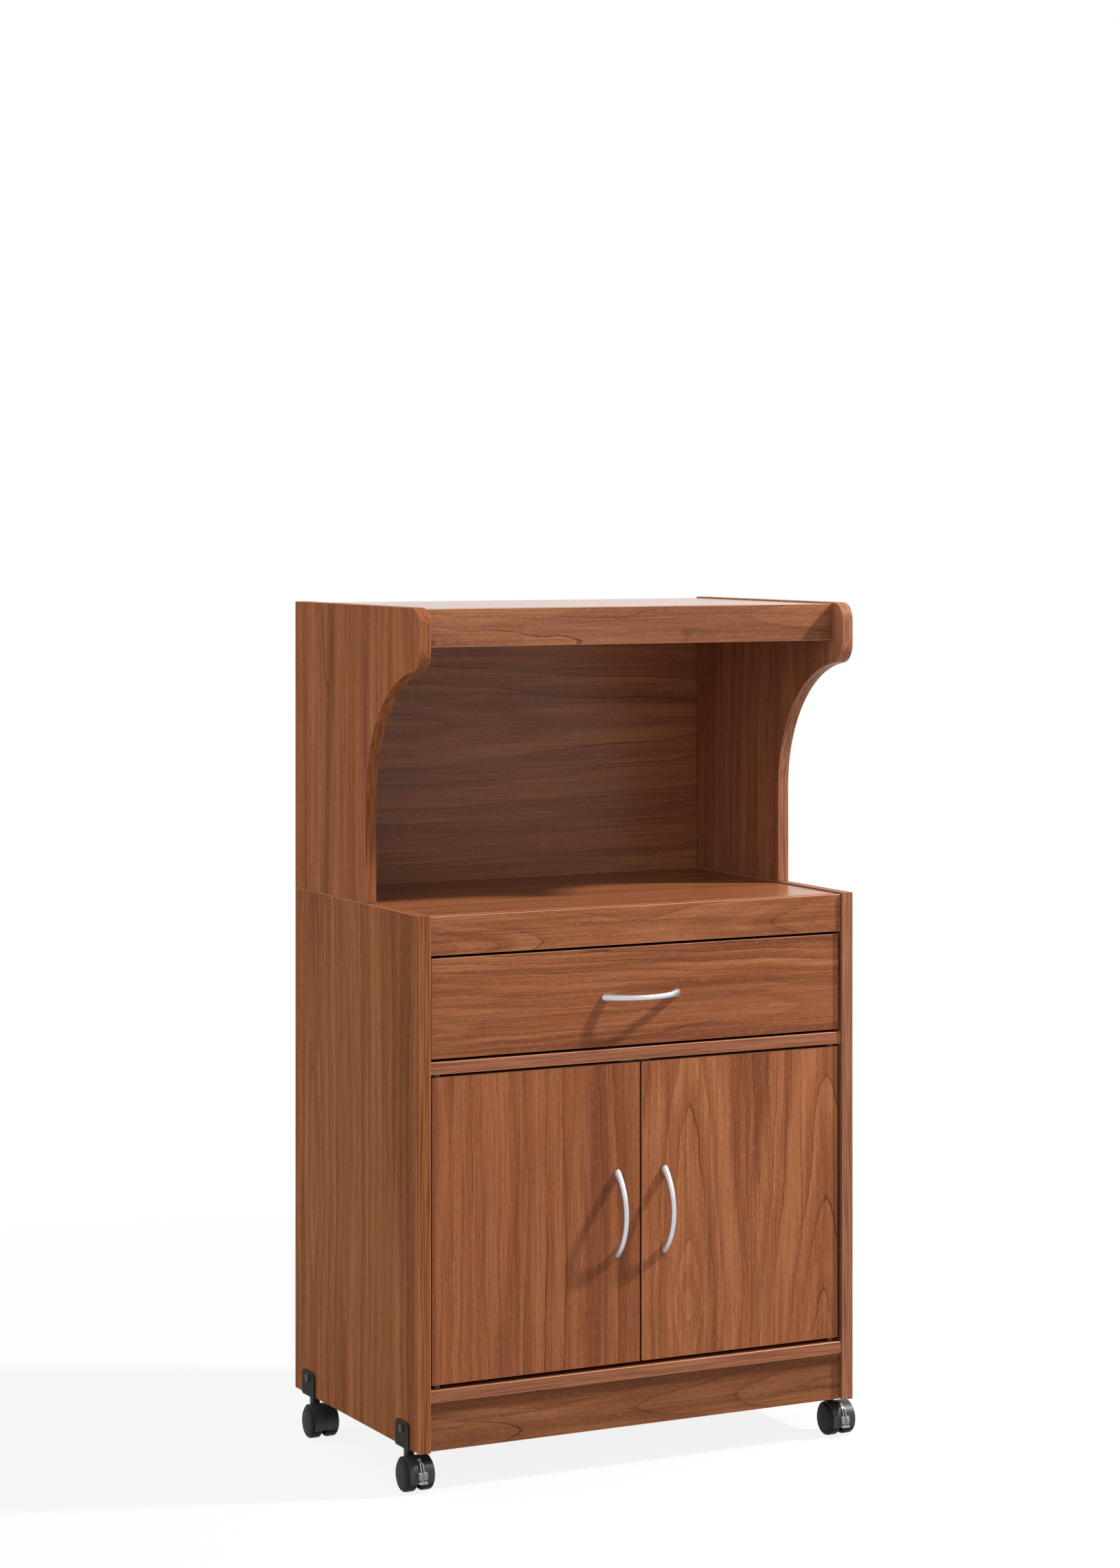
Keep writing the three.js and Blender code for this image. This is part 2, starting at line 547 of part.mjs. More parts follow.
function drawer() {
  const frontHalf = INSIDE - DRAWER_SIDE_GAP;
  board('drawer_front', [-frontHalf, frontHalf], [FRONT_FACE, FRONT_BACK], [DRAWER_LOW, DRAWER_TOP]);
  place(cart, 'drawer_handle', bowHandle(), finish.satinMetal(),
    0, FRONT_FACE, (DRAWER_LOW + DRAWER_TOP) / 2);

  const boxBack = DRAWER_BOX_FRONT + SLIDE_LENGTH;
  const sideTop = DRAWER_SIDE_LOW + DRAWER_SIDE_HEIGHT;
  const drawerInner = DRAWER_OUTER - DRAWER_BOARD;
  const grooveLow = DRAWER_SIDE_LOW + GROOVE_LIFT;
  const grooveHeight = DRAWER_BOTTOM + GROOVE_PLAY;
  for (const [side, sign] of Object.entries(SIDES)) {
    const x = sign < 0 ? [-DRAWER_OUTER, -drawerInner] : [drawerInner, DRAWER_OUTER];
    const panel = board(`drawer_side_${side}`, x, [DRAWER_BOX_FRONT, boxBack],
      [DRAWER_SIDE_LOW, sideTop]);
    const grooveX = sign < 0 ? -drawerInner - GROOVE_DEPTH : drawerInner - 1;
    machine(panel, boxAt(grooveX, DRAWER_BOX_FRONT - 1, grooveLow,
      GROOVE_DEPTH + 1, SLIDE_LENGTH + 2, grooveHeight));
  }
  const bottomLow = grooveLow + GROOVE_PLAY / 2;
  const bottomHalf = drawerInner + GROOVE_DEPTH - GROOVE_PLAY;
  board('drawer_bottom', [-bottomHalf, bottomHalf], [DRAWER_BOX_FRONT, boxBack],
    [bottomLow, bottomLow + DRAWER_BOTTOM], finish.hardboard());
  const backHalf = drawerInner - BUTT_GAP;
  board('drawer_back', [-backHalf, backHalf], [boxBack - DRAWER_BOARD, boxBack],
    [bottomLow + DRAWER_BOTTOM + BUTT_GAP, sideTop]);
}

// The rails are drawn at a cabinet side: u is the distance in from it, w the height above the track.
function railOutline(sign, points) {
  return new THREE.Shape(points.map(([u, w]) => new THREE.Vector2(-sign * u, w)));
}

function slides() {
  const inner = BUTT_GAP + SLIDE_STEEL; // the cabinet rail's web ends here
  const wall = SLIDE_SPACE - BUTT_GAP; // the drawer rail's wall, next to the drawer side
  const lip = wall - SLIDE_STEEL - RAIL_PLAY;
  const channel = FLANGE_Z + SLIDE_STEEL + CHANNEL_PLAY; // height inside it
  const flangeTip = inner + 1;
  const cabinetSection = [
    [BUTT_GAP, -SLIDE_STEEL], [lip, -SLIDE_STEEL], [lip, 0], [inner, 0],
    [inner, channel], [lip, channel], [lip, channel + SLIDE_STEEL], [BUTT_GAP, channel + SLIDE_STEEL],
  ];
  const drawerSection = [
    [flangeTip, FLANGE_Z], [wall - SLIDE_STEEL, FLANGE_Z], [wall - SLIDE_STEEL, -SLIDE_STEEL],
    [wall + SLIDE_LIP, -SLIDE_STEEL], [wall + SLIDE_LIP, 0], [wall, 0],
    [wall, FLANGE_Z + SLIDE_STEEL], [flangeTip, FLANGE_Z + SLIDE_STEEL],
  ];
  const flangeStart = 2 * ROLLER_END;
  const rearRollerY = SLIDE_LENGTH - ROLLER_END;
  const rollerGap = 1; // between a roller and the rail that carries it
  const frontRollerU = inner + rollerGap;
  const rearRollerU = wall - SLIDE_STEEL - rollerGap - ROLLER_WIDTH;

  for (const [side, sign] of Object.entries(SIDES)) {
    const slide = new THREE.Group();
    slide.position.set(sign * INSIDE, SLIDE_FRONT, TRACK_Z);
    cart.add(slide);
    // the low end in X of what spans u to u + width
    const lowX = (u, width) => (sign < 0 ? u : -u - width);

    const web = boxAt(lowX(BUTT_GAP, SLIDE_STEEL), 0, -SLIDE_STEEL,
      SLIDE_STEEL, flangeStart + 1, channel + 2 * SLIDE_STEEL);
    const track = extrudeY(railOutline(sign, cabinetSection), flangeStart, SLIDE_LENGTH - flangeStart);
    const axleLength = SLIDE_STEEL + rollerGap + ROLLER_WIDTH + rollerGap / 2;
    const frontAxle = rodX(ROLLER_AXLE_RADIUS, axleLength,
      lowX(BUTT_GAP, axleLength), ROLLER_END, ROLLER_Z, 10);
    place(slide, `slide_cabinet_${side}`,
      geometryOf(join(solid(track), solid(web), solid(frontAxle))), finish.slideSteel());

    const carrier = extrudeY(railOutline(sign, drawerSection), 0, SLIDE_LENGTH);
    const rearAxle = rodX(ROLLER_AXLE_RADIUS, axleLength,
      lowX(wall - axleLength, axleLength), rearRollerY, ROLLER_Z, 10);
    place(slide, `slide_drawer_${side}`,
      geometryOf(join(solid(carrier), solid(rearAxle))), finish.slideSteel());

    place(slide, `slide_roller_front_${side}`, roller(), finish.nylon(),
      lowX(frontRollerU, ROLLER_WIDTH), ROLLER_END, ROLLER_Z);
    place(slide, `slide_roller_rear_${side}`, roller(), finish.nylon(),
      lowX(rearRollerU, ROLLER_WIDTH), rearRollerY, ROLLER_Z);
  }
}

// A roller round its axle, along X from 0.
function roller() {
  const bore = ROLLER_AXLE_RADIUS + AXLE_PLAY;
  const ease = 0.8;
  return revolve([
    [bore, 0],
    [bore, ROLLER_WIDTH],
    [ROLLER_RADIUS - ease, ROLLER_WIDTH],
    [ROLLER_RADIUS, ROLLER_WIDTH - ease],
    [ROLLER_RADIUS, ease],
    [ROLLER_RADIUS - ease, 0],
    [bore, 0],
  ].reverse(), 16).rotateZ(-Math.PI / 2);
}

// ---- casters ----
// Each is drawn about its stem: the stem's axis is X = 0, Y = 0 and the floor is Z = 0.

const PLATE_LOW = SIDE_BOTTOM - BUTT_GAP - BRACKET_STEEL;
const COLLAR_LOW = PLATE_LOW - COLLAR_HEIGHT;
const BOSS_TOP = COLLAR_LOW - SWIVEL_PLAY;

// A strap that wraps the side panel's lower edge, with the swivel stem under it.
function bracket(sign) {
  const inner = BOARD / 2 + BUTT_GAP;
  const outer = inner + BRACKET_STEEL;
  const bend = BRACKET_BEND;
  const tabTop = SIDE_BOTTOM + BRACKET_TAB_HEIGHT;
  const lipTop = SIDE_BOTTOM + BRACKET_LIP_HEIGHT;
  const plateTop = PLATE_LOW + BRACKET_STEEL;
  const strap = new THREE.Shape();
  strap.moveTo(-outer, lipTop);
  strap.lineTo(-outer, PLATE_LOW + bend);
  strap.absarc(-outer + bend, PLATE_LOW + bend, bend, Math.PI, 1.5 * Math.PI, false);
  strap.lineTo(outer - bend, PLATE_LOW);
  strap.absarc(outer - bend, PLATE_LOW + bend, bend, 1.5 * Math.PI, 2 * Math.PI, false);
  strap.lineTo(outer, tabTop);
  strap.lineTo(inner, tabTop);
  strap.lineTo(inner, plateTop);
  strap.lineTo(-inner, plateTop);
  strap.lineTo(-inner, lipTop);
  const half = BRACKET_WIDTH / 2;
  const corner = BRACKET_CORNER;
  const face = new THREE.Shape();
  face.moveTo(-half, PLATE_LOW - 1);
  face.lineTo(half, PLATE_LOW - 1);
  face.lineTo(half, tabTop - corner);
  face.absarc(half - corner, tabTop - corner, corner, 0, Math.PI / 2, false);
  face.lineTo(-half + corner, tabTop);
  face.absarc(-half + corner, tabTop - corner, corner, Math.PI / 2, Math.PI, false);
  const screwHole = rodX(SCREW_SHANK_RADIUS + SCREW_PLAY, BRACKET_STEEL + 2,
    inner - 1, 0, SIDE_BOTTOM + SCREW_HEIGHT, 12);
  const strapBody = cut(
    solid(extrudeY(strap, -half, BRACKET_WIDTH)).intersect(solid(extrudeX(face, -2 * outer, 4 * outer, 2))),
    solid(screwHole),
  );
  const collar = rodZ(COLLAR_RADIUS, COLLAR_HEIGHT + 0.5, 0, 0, COLLAR_LOW);
  const stem = rodZ(STEM_RADIUS, STEM_LENGTH + 0.5, 0, 0, PLATE_LOW - STEM_LENGTH);
  const geometry = geometryOf(join(strapBody, solid(collar), solid(stem)));
  return sign < 0 ? geometry.rotateZ(Math.PI) : geometry;
}

// A dome-headed screw along X, its head's underside at 0.
function bracketScrew(sign) {
  const shank = SCREW_SHANK_LENGTH + BRACKET_STEEL + BUTT_GAP;
  const domeRadius = (SCREW_HEAD_RADIUS ** 2 + SCREW_HEAD_HEIGHT ** 2) / (2 * SCREW_HEAD_HEIGHT);
  const half = THREE.MathUtils.radToDeg(Math.asin(SCREW_HEAD_RADIUS / domeRadius));
  const dome = round(0, SCREW_HEAD_HEIGHT - domeRadius, domeRadius, 90 - half, 90, 3);
  dome[dome.length - 1][0] = 0;
  const geometry = revolve([
    [0, -shank],
    [SCREW_SHANK_RADIUS, -shank],
    [SCREW_SHANK_RADIUS, 0],
    ...dome,
  ], 12);
  return geometry.rotateZ((-sign * Math.PI) / 2);
}

// A sector in (Y, Z) about the axle, between two angles in degrees above the axle, in front.
function sector(innerRadius, outerRadius, low, high) {
  const from = radians(180 - high);
  const to = radians(180 - low);
  const shape = new THREE.Shape();
  shape.absarc(0, 0, outerRadius, from, to, false);
  shape.absarc(0, 0, innerRadius, to, from, true);
  return shape;
}

function leverPivot() {
  const angle = radians(180 - LEVER_PIVOT_ANGLE);
  return [LEVER_PIVOT_REACH * Math.cos(angle), LEVER_PIVOT_REACH * Math.sin(angle)];
}

const HOOD_INNER = WHEEL_RADIUS + HOOD_PLAY;
const HOOD_OUTER = HOOD_INNER + HOOD_WALL;

// The housing: a web between the wheels, a hood over both treads, the boss that the stem
// turns in, and the axle. Drawn about the axle.
function casterHousing(hasBrake) {
  const rear = radians(-HOOD_REAR);
  const front = radians(180 + HOOD_FRONT);
  const hood = new THREE.Shape();
  hood.absarc(0, 0, HOOD_OUTER, rear, front, false);
  hood.lineTo(0, 0);
  const web = new THREE.Shape();
  web.absarc(0, 0, HOOD_OUTER, rear, front, false);
  const hubRadius = hasBrake ? WEB_HUB_RADIUS : PLAIN_WEB_HUB_RADIUS;
  web.absarc(0, 0, hubRadius, radians(235), radians(305), false);
  const webHalf = WEB_THICKNESS / 2;
  const drums = [-webHalf - WHEEL_WIDTH - 2, webHalf].map((x) => solid(
    rodX(HOOD_INNER, WHEEL_WIDTH + 2, x, 0, 0, 24),
  ));
  const bossTop = BOSS_TOP - AXLE_HEIGHT;
  const boss = rodZ(BOSS_RADIUS, BOSS_DEPTH, 0, CASTER_TRAIL, bossTop - BOSS_DEPTH);
  const boreDepth = STEM_LENGTH + SWIVEL_PLAY - (PLATE_LOW - BOSS_TOP);
  const bore = rodZ(STEM_RADIUS + STEM_PLAY, boreDepth + 1, 0, CASTER_TRAIL, bossTop - boreDepth);
  let body = cut(
    join(
      solid(extrudeX(hood, -HOOD_WIDTH / 2, HOOD_WIDTH, 11)),
      solid(extrudeX(web, -webHalf, WEB_THICKNESS, 11)),
      solid(boss),
    ),
    ...drums,
    solid(bore),
  );
  if (hasBrake) {
    const arm = LEVER_STEM_WIDTH + 2 * LEVER_SLOT_PLAY;
    const slot = sector(HOOD_INNER - 1, HOOD_OUTER + 2, LEVER_PIVOT_ANGLE - 9, LEVER_PIVOT_ANGLE + 12);
    const pocket = sector(LEVER_PIVOT_REACH, HOOD_INNER, LEVER_PIVOT_ANGLE - 17, LEVER_PIVOT_ANGLE + 17);
    const [y, z] = leverPivot();
    body = cut(
      body,
      solid(extrudeX(slot, -arm / 2, arm)),
      solid(extrudeX(pocket, -webHalf - 1, WEB_THICKNESS + 2)),
      solid(rodX(LEVER_TRUNNION + STEM_PLAY, WEB_THICKNESS + 2, -webHalf - 1, y, z)),
    );
  }
  const axleHalf = webHalf + WHEEL_PLAY + AXLE_IN_WHEEL;
  const axle = rodX(AXLE_RADIUS, 2 * axleHalf, -axleHalf, 0, 0);
  return geometryOf(body.add(solid(axle)));
}

// A wheel on its axle: hollow behind a domed face, with a rounded tread. Its inner face is at
// X = 0, its outer face towards +X, and one of its flats at the bottom.
function casterWheel() {
  const bore = AXLE_RADIUS + AXLE_PLAY;
  const boreDepth = AXLE_IN_WHEEL + AXLE_PLAY;
  const rim = WHEEL_RADIUS - WHEEL_INNER_ROUND;
  const innerRound = round(rim, WHEEL_INNER_ROUND, WHEEL_INNER_ROUND, -90, 0, 2);
  const outerRound = round(WHEEL_RADIUS - WHEEL_OUTER_ROUND, WHEEL_WIDTH - WHEEL_OUTER_ROUND,
    WHEEL_OUTER_ROUND, 0, 90, 3);
  return revolve([
    [0, boreDepth],
    [bore, boreDepth],
    [bore, 0],
    [WHEEL_HUB_RADIUS, 0],
    [WHEEL_HUB_RADIUS, WHEEL_HOLLOW],
    [rim, WHEEL_HOLLOW],
    ...innerRound,
    ...outerRound,
    [WHEEL_HUB_RADIUS, WHEEL_WIDTH + WHEEL_DOME],
    [0, WHEEL_WIDTH + WHEEL_DOME],
  ], WHEEL_STEPS).rotateZ(-Math.PI / 2).rotateX(Math.PI / WHEEL_STEPS);
}

// The brake lever: a trunnion in the web, an arm out through the hood's slot, a strip down the
// hood's front and a ribbed pad with a lip at its end. Drawn about the axle.
function brakeLever() {
  const strapInner = HOOD_OUTER + LEVER_GAP;
  const strapOuter = strapInner + LEVER_STEM;
  const [y, z] = leverPivot();
  const half = LEVER_STEM_WIDTH / 2;
  const trunnion = rodX(LEVER_TRUNNION, WEB_THICKNESS - 2 * STEM_PLAY,
    -WEB_THICKNESS / 2 + STEM_PLAY, y, z);
  const arm = sector(LEVER_PIVOT_REACH, strapOuter, LEVER_PIVOT_ANGLE - 4, LEVER_PIVOT_ANGLE + 4);
  const strip = sector(strapInner, strapOuter, LEVER_PAD_TOP - 2, LEVER_PIVOT_ANGLE + 4);
  const pad = sector(strapInner, strapInner + LEVER_PAD, -LEVER_PAD_BOTTOM, LEVER_PAD_TOP);
  const groove = sector(strapInner + LEVER_PAD - PAD_GROOVE_DEPTH, strapInner + LEVER_PAD + 1,
    -LEVER_PAD_BOTTOM - 5, LEVER_PAD_TOP + 5);
  const grooves = [-1, 1].map((way) => solid(extrudeX(
    groove, (way * LEVER_PAD_WIDTH) / 6 - PAD_GROOVE / 2, PAD_GROOVE,
  )));
  const ribbedPad = cut(solid(extrudeX(pad, -LEVER_PAD_WIDTH / 2, LEVER_PAD_WIDTH)), ...grooves);
  const lip = sector(strapInner, strapInner + LEVER_PAD + LEVER_LIP,
    -LEVER_PAD_BOTTOM, LEVER_LIP_SPAN - LEVER_PAD_BOTTOM);
  return geometryOf(join(
    solid(extrudeX(strip, -half, LEVER_STEM_WIDTH, 4)),
    ribbedPad,
    solid(extrudeX(lip, -LEVER_PAD_WIDTH / 2, LEVER_PAD_WIDTH, 1)),
    solid(extrudeX(arm, -half, LEVER_STEM_WIDTH, 1)),
    solid(trunnion),
  ));
}

function casters() {
  for (const [end, y] of Object.entries(ENDS)) {
    for (const [side, sign] of Object.entries(SIDES)) {
      const name = `${end}_${side}`;
      const hasBrake = end === 'front';
      const caster = new THREE.Group();
      caster.position.set(sign * STEM_X, y, 0);
      cart.add(caster);
      place(caster, `caster_bracket_${name}`, bracket(sign), finish.blackSteel());
      place(caster, `bracket_screw_${name}`, bracketScrew(sign), finish.blackSteel(),
        sign * (BOARD / 2 + 2 * BUTT_GAP + BRACKET_STEEL), 0, SIDE_BOTTOM + SCREW_HEIGHT);

      const running = new THREE.Group();
      running.position.set(0, -CASTER_TRAIL, AXLE_HEIGHT);
      caster.add(running);
      place(running, `caster_housing_${name}`, casterHousing(hasBrake), finish.blackPlastic());
      const wheelX = WEB_THICKNESS / 2 + WHEEL_PLAY;
      place(running, `caster_wheel_right_${name}`, casterWheel(), finish.wheel(), wheelX);
      const leftWheel = place(running, `caster_wheel_left_${name}`, casterWheel(), finish.wheel(), -wheelX);
      leftWheel.rotation.z = Math.PI;
      if (hasBrake) place(running, `brake_lever_${name}`, brakeLever(), finish.leverPlastic());
    }
  }
}

baseSides();
baseBoards();
backPanels();
hutch();
doors();
doorCatch();
drawer();
slides();
casters();

export default cart;
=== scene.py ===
"""Looks, light and camera for the microwave cart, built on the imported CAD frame.

Lengths are metres in the frame's axes: +Z up, the front faces -Y, floor at Z = 0.
"""

import json
import math

import bmesh
import bpy
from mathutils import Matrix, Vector


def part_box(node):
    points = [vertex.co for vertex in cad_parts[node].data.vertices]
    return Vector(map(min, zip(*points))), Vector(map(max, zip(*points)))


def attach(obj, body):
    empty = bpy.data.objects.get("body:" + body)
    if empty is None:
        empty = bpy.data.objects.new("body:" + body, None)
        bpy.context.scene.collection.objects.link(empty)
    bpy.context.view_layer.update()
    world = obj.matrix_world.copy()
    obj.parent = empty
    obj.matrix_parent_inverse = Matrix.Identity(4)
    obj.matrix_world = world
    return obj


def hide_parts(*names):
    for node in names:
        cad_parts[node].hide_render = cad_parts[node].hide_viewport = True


MM = 0.001

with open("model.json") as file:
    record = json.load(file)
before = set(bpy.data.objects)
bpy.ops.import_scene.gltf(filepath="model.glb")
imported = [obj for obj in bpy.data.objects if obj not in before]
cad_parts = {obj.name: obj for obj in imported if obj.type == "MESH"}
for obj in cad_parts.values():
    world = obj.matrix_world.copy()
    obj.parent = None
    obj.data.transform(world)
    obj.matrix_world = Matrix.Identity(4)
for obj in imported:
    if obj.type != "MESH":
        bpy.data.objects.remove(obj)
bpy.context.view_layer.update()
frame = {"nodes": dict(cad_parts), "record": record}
nodes = frame["nodes"]
scene = bpy.context.scene

SLOT_OF = {piece["node"]: piece["material_slot"] for piece in frame["record"]["subparts"]}
BODY_OF = {
    node: body
    for body, members in frame["record"]["behaviour"]["bodies"].items()
    for node in members
}
SIDES = {"left": -1, "right": 1}


# ---- shader building ----


def srgb(red, green, blue):
    """A colour written as 0 to 255 values, as Blender's linear RGBA."""
    def linear(value):
        value /= 255.0
        return value / 12.92 if value <= 0.04045 else ((value + 0.055) / 1.055) ** 2.4

    return (linear(red), linear(green), linear(blue), 1.0)


class Shading:
    """A material's node tree. Each method adds a node and returns its output socket."""

    def __init__(self, owner):
        owner.use_nodes = True
        self.tree = owner.node_tree
        self.tree.nodes.clear()

    def put(self, socket, value):
        if isinstance(value, bpy.types.NodeSocket):
            self.tree.links.new(value, socket)
        else:
            socket.default_value = value

    def node(self, kind, named=None, **settings):
        made = self.tree.nodes.new(kind)
        for key, value in settings.items():
            setattr(made, key, value)
        for key, value in (named or {}).items():
            self.put(made.inputs[key], value)
        return made

    def math(self, operation, *values):
        made = self.node("ShaderNodeMath", operation=operation)
        for socket, value in zip(made.inputs, values):
            self.put(socket, value)
        return made.outputs[0]

    def times(self, first, second):
        return self.math("MULTIPLY", first, second)

    def plus(self, *values):
        total = values[0]
        for value in values[1:]:
            total = self.math("ADD", total, value)
        return total

    def combine(self, x, y, z):
        return self.node("ShaderNodeCombineXYZ", {"X": x, "Y": y, "Z": z}).outputs[0]

    def split(self, vector):
        return self.node("ShaderNodeSeparateXYZ", {"Vector": vector}).outputs

    def noise(self, vector, scale=1.0, detail=2.0, roughness=0.5):
        values = {"Vector": vector, "Scale": scale, "Detail": detail, "Roughness": roughness}
        return self.node("ShaderNodeTexNoise", values).outputs["Fac"]

    def swing(self, vector, reach, scale=1.0, detail=2.0):
        """Noise about zero, whose usual reach to each side is a quarter of what is given."""
        return self.times(self.math("SUBTRACT", self.noise(vector, scale, detail), 0.5), reach)

    def step(self, value, low, high):
        """0 under low, 1 over high, smooth between. With low over high it falls instead."""
        values = {"Value": value, "From Min": low, "From Max": high}
        return self.node("ShaderNodeMapRange", values, interpolation_type="SMOOTHSTEP").outputs[0]

    def between(self, value, low, high):
        """Stretches a value from 0 to 1 over low to high."""
        values = {"Value": value, "To Min": low, "To Max": high}
        return self.node("ShaderNodeMapRange", values).outputs[0]

    def mix(self, share, first, second):
        made = self.node("ShaderNodeMix", data_type="RGBA", clamp_factor=True)
        self.put(made.inputs[0], share)
        self.put(made.inputs[6], first)
        self.put(made.inputs[7], second)
        return made.outputs[2]

    def bump(self, height, strength, distance):
        values = {"Height": height, "Strength": strength, "Distance": distance}
        return self.node("ShaderNodeBump", values).outputs[0]

    def surface(self, shader):
        self.node("ShaderNodeOutputMaterial", {"Surface": shader})

    def principled(self, **values):
        named = {
            key.replace("_", " ").title().replace("Ior", "IOR"): value
            for key, value in values.items()
        }
        self.surface(self.node("ShaderNodeBsdfPrincipled", named).outputs[0])


def new_material(name):
    material = bpy.data.materials.new(name)
    return material, Shading(material)


# ---- the boards' laminate ----

PALE = (178, 111, 71)
BODY = (150, 88, 54)
DEEP = (121, 66, 39)
LINE = (72, 37, 21)
EDGE = (164, 102, 68)
# pale flecks in the grain, and the painted highlight along the eased edges
FLECK_AND_EDGE_HIGHLIGHT = (208, 152, 120)
HARDBOARD = srgb(140, 102, 70)
HARDBOARD_DARK = srgb(110, 77, 52)
NAIL = srgb(150, 148, 144)

# how many to a metre, across the grain and along it
TONES = (36.0, 1.3)
PATCHES = (15.0, 3.5)
PINSTRIPES = (230.0, 2.0)
FIBRES = (520.0, 9.0)
PORES = (1000.0, 120.0)


class Grain:
    """The wood figure of one board: the tree's rings, cut at a shallow slope.

    heart is where, across and along the board, the cut meets the tree's middle. slope is how
    fast the cut leaves it, and depth how far off it stays, which opens the arches into bands.
    """

    def __init__(self, s, across, along, seed):
        self.s, self.across, self.along = s, across, along
        slow = s.combine(s.times(across, 4.0), s.times(along, 2.2), seed)
        quick = s.combine(s.times(across, 26.0), s.times(along, 20.0), seed + 3.7)
        self.drift = s.plus(s.swing(slow, 0.028), s.swing(quick, 0.0065, detail=3.0))
        self.sway = s.swing(s.combine(seed + 9.1, s.times(along, 6.0), 0.0), 0.016)

    def distance(self, heart, slope, depth):
        s = self.s
        sideways = s.math("ABSOLUTE", s.plus(self.across, -heart[0], self.drift))
        leave = s.math("POWER", s.math("ABSOLUTE", s.plus(self.along, -heart[1])), 0.6)
        down = s.math("MAXIMUM", s.plus(s.times(leave, slope), depth, self.sway), 0.0)
        total = s.plus(s.math("POWER", sideways, 1.6), s.math("POWER", down, 1.6))
        return s.math("POWER", total, 0.625)


def laminate(name, axes, hearts, spacing, seed, contrast=1.0, tint=(1, 1, 1), gloss=0.1,
             hardboard=False):
    """Printed wood. axes names the row axes across the grain, along it and through the board."""
    def tone(colour):
        return tuple(c * t for c, t in zip(srgb(*colour), tint)) + (1.0,)

    material, s = new_material(name)
    source = s.node("ShaderNodeTexCoord")
    place = s.split(source.outputs["Object"])
    facing = s.split(source.outputs["Normal"])
    across, along, through = (place["XYZ".index(a)] for a in axes)
    n_along, n_through = (s.math("ABSOLUTE", facing["XYZ".index(a)]) for a in axes[1:])

    grain = Grain(s, across, along, seed)
    radius = grain.distance(*hearts[0])
    for heart in hearts[1:]:
        radius = s.math("SMOOTH_MIN", radius, grain.distance(*heart), 0.012)
    rings = s.math("DIVIDE", radius, spacing)
    rings = s.plus(rings, s.times(s.noise(s.combine(rings, seed, 2.0), 0.5, 1.0), 0.8))
    phase = s.math("FRACT", rings)
    number = s.math("FLOOR", rings)

    # broad tones that follow the rings, others drawn out along the board, and fine stripes
    ring_tone = s.noise(s.combine(s.times(rings, 0.9), s.times(along, 1.5), seed), 1.0, 3.0, 0.6)
    long_tone = s.noise(s.combine(s.times(s.plus(across, grain.drift), TONES[0]),
                                  s.times(along, TONES[1]), seed + 5.0), 1.0, 3.0, 0.5)
    pin = s.noise(s.combine(s.times(s.plus(across, s.times(grain.drift, 0.7)), PINSTRIPES[0]),
                            s.times(along, PINSTRIPES[1]), seed + 13.0), 1.0, 3.0, 0.65)
    # late wood: a thin dark line and a soft shade outside it, on some rings more than on others
    strength = s.step(s.noise(s.combine(s.times(number, 7.31), seed, 0.5), 1.0, 0.0), 0.3, 0.5)
    patch = s.step(s.noise(s.combine(s.times(across, PATCHES[0]), s.times(along, PATCHES[1]),
                                     seed + 21.0)), 0.36, 0.62)
    shade = s.times(s.step(phase, 0.8, 0.1), s.step(phase, 0.0, 0.12))
    line = s.times(s.step(phase, 0.09, 0.05), s.step(phase, 0.0, 0.02))
    # fibres and pores
    fibre = s.noise(s.combine(s.times(across, FIBRES[0]), s.times(along, FIBRES[1]), through),
                    1.0, 2.0, 0.6)
    pores = s.noise(s.combine(s.times(across, PORES[0]), s.times(along, PORES[1]), through),
                    1.0, 1.0)

    colour = s.mix(s.times(s.step(ring_tone, 0.34, 0.66), contrast), tone(BODY), tone(PALE))
    colour = s.mix(s.times(s.step(long_tone, 0.48, 0.66), 0.85 * contrast), colour, tone(DEEP))
    colour = s.mix(s.times(s.step(long_tone, 0.47, 0.33), 0.65 * contrast), colour, tone(PALE))
    colour = s.mix(s.times(s.step(pin, 0.5, 0.68), 0.5), colour, tone(DEEP))
    colour = s.mix(s.times(s.step(pin, 0.48, 0.3), 0.4), colour, tone(PALE))
    colour = s.mix(s.times(shade, s.between(strength, 0.1 * contrast, 0.4 * contrast)),
                   colour, tone(DEEP))
    colour = s.mix(s.times(s.times(line, strength), s.between(patch, 0.15, 0.9 * contrast)),
                   colour, tone(LINE))
    colour = s.mix(s.times(s.step(fibre, 0.44, 0.7), 0.5), colour, tone(DEEP))
    colour = s.mix(s.times(s.step(fibre, 0.46, 0.26), 0.4), colour, tone(PALE))
    colour = s.mix(s.times(s.step(pores, 0.6, 0.7), 0.3), colour, tone(LINE))
    colour = s.mix(s.times(s.step(pores, 0.38, 0.28), 0.22), colour, tone(FLECK_AND_EDGE_HIGHLIGHT))

    # edge banding: plainer, its fibres along whichever way the edge runs
    run = s.plus(along, s.times(n_along, s.math("SUBTRACT", across, along)))
    band = s.noise(s.combine(s.times(through, 620.0), s.times(run, 9.0), seed), 1.0, 3.0, 0.65)
    edge = s.mix(s.step(band, 0.36, 0.66), tone(EDGE), tone(DEEP))
    colour = s.mix(s.step(n_through, 0.9, 0.97), edge, colour)
    # painted highlight: the eased edges are drawn lighter, as light catching each arris
    painted_edge_highlight = s.times(s.step(n_through, 0.25, 0.45), s.step(n_through, 0.96, 0.86))
    colour = s.mix(s.times(painted_edge_highlight, 0.75), colour, tone(FLECK_AND_EDGE_HIGHLIGHT))

    if hardboard:
        colour = back_face(s, colour, place, facing)
    height = s.plus(fibre, s.times(pores, 0.5))
    s.principled(
        base_color=colour,
        roughness=s.between(fibre, 0.37 - 0.3 * gloss, 0.49 - 0.3 * gloss),
        specular_ior_level=gloss,
        normal=s.bump(height, 0.12, 0.2 * MM),
    )
    return material


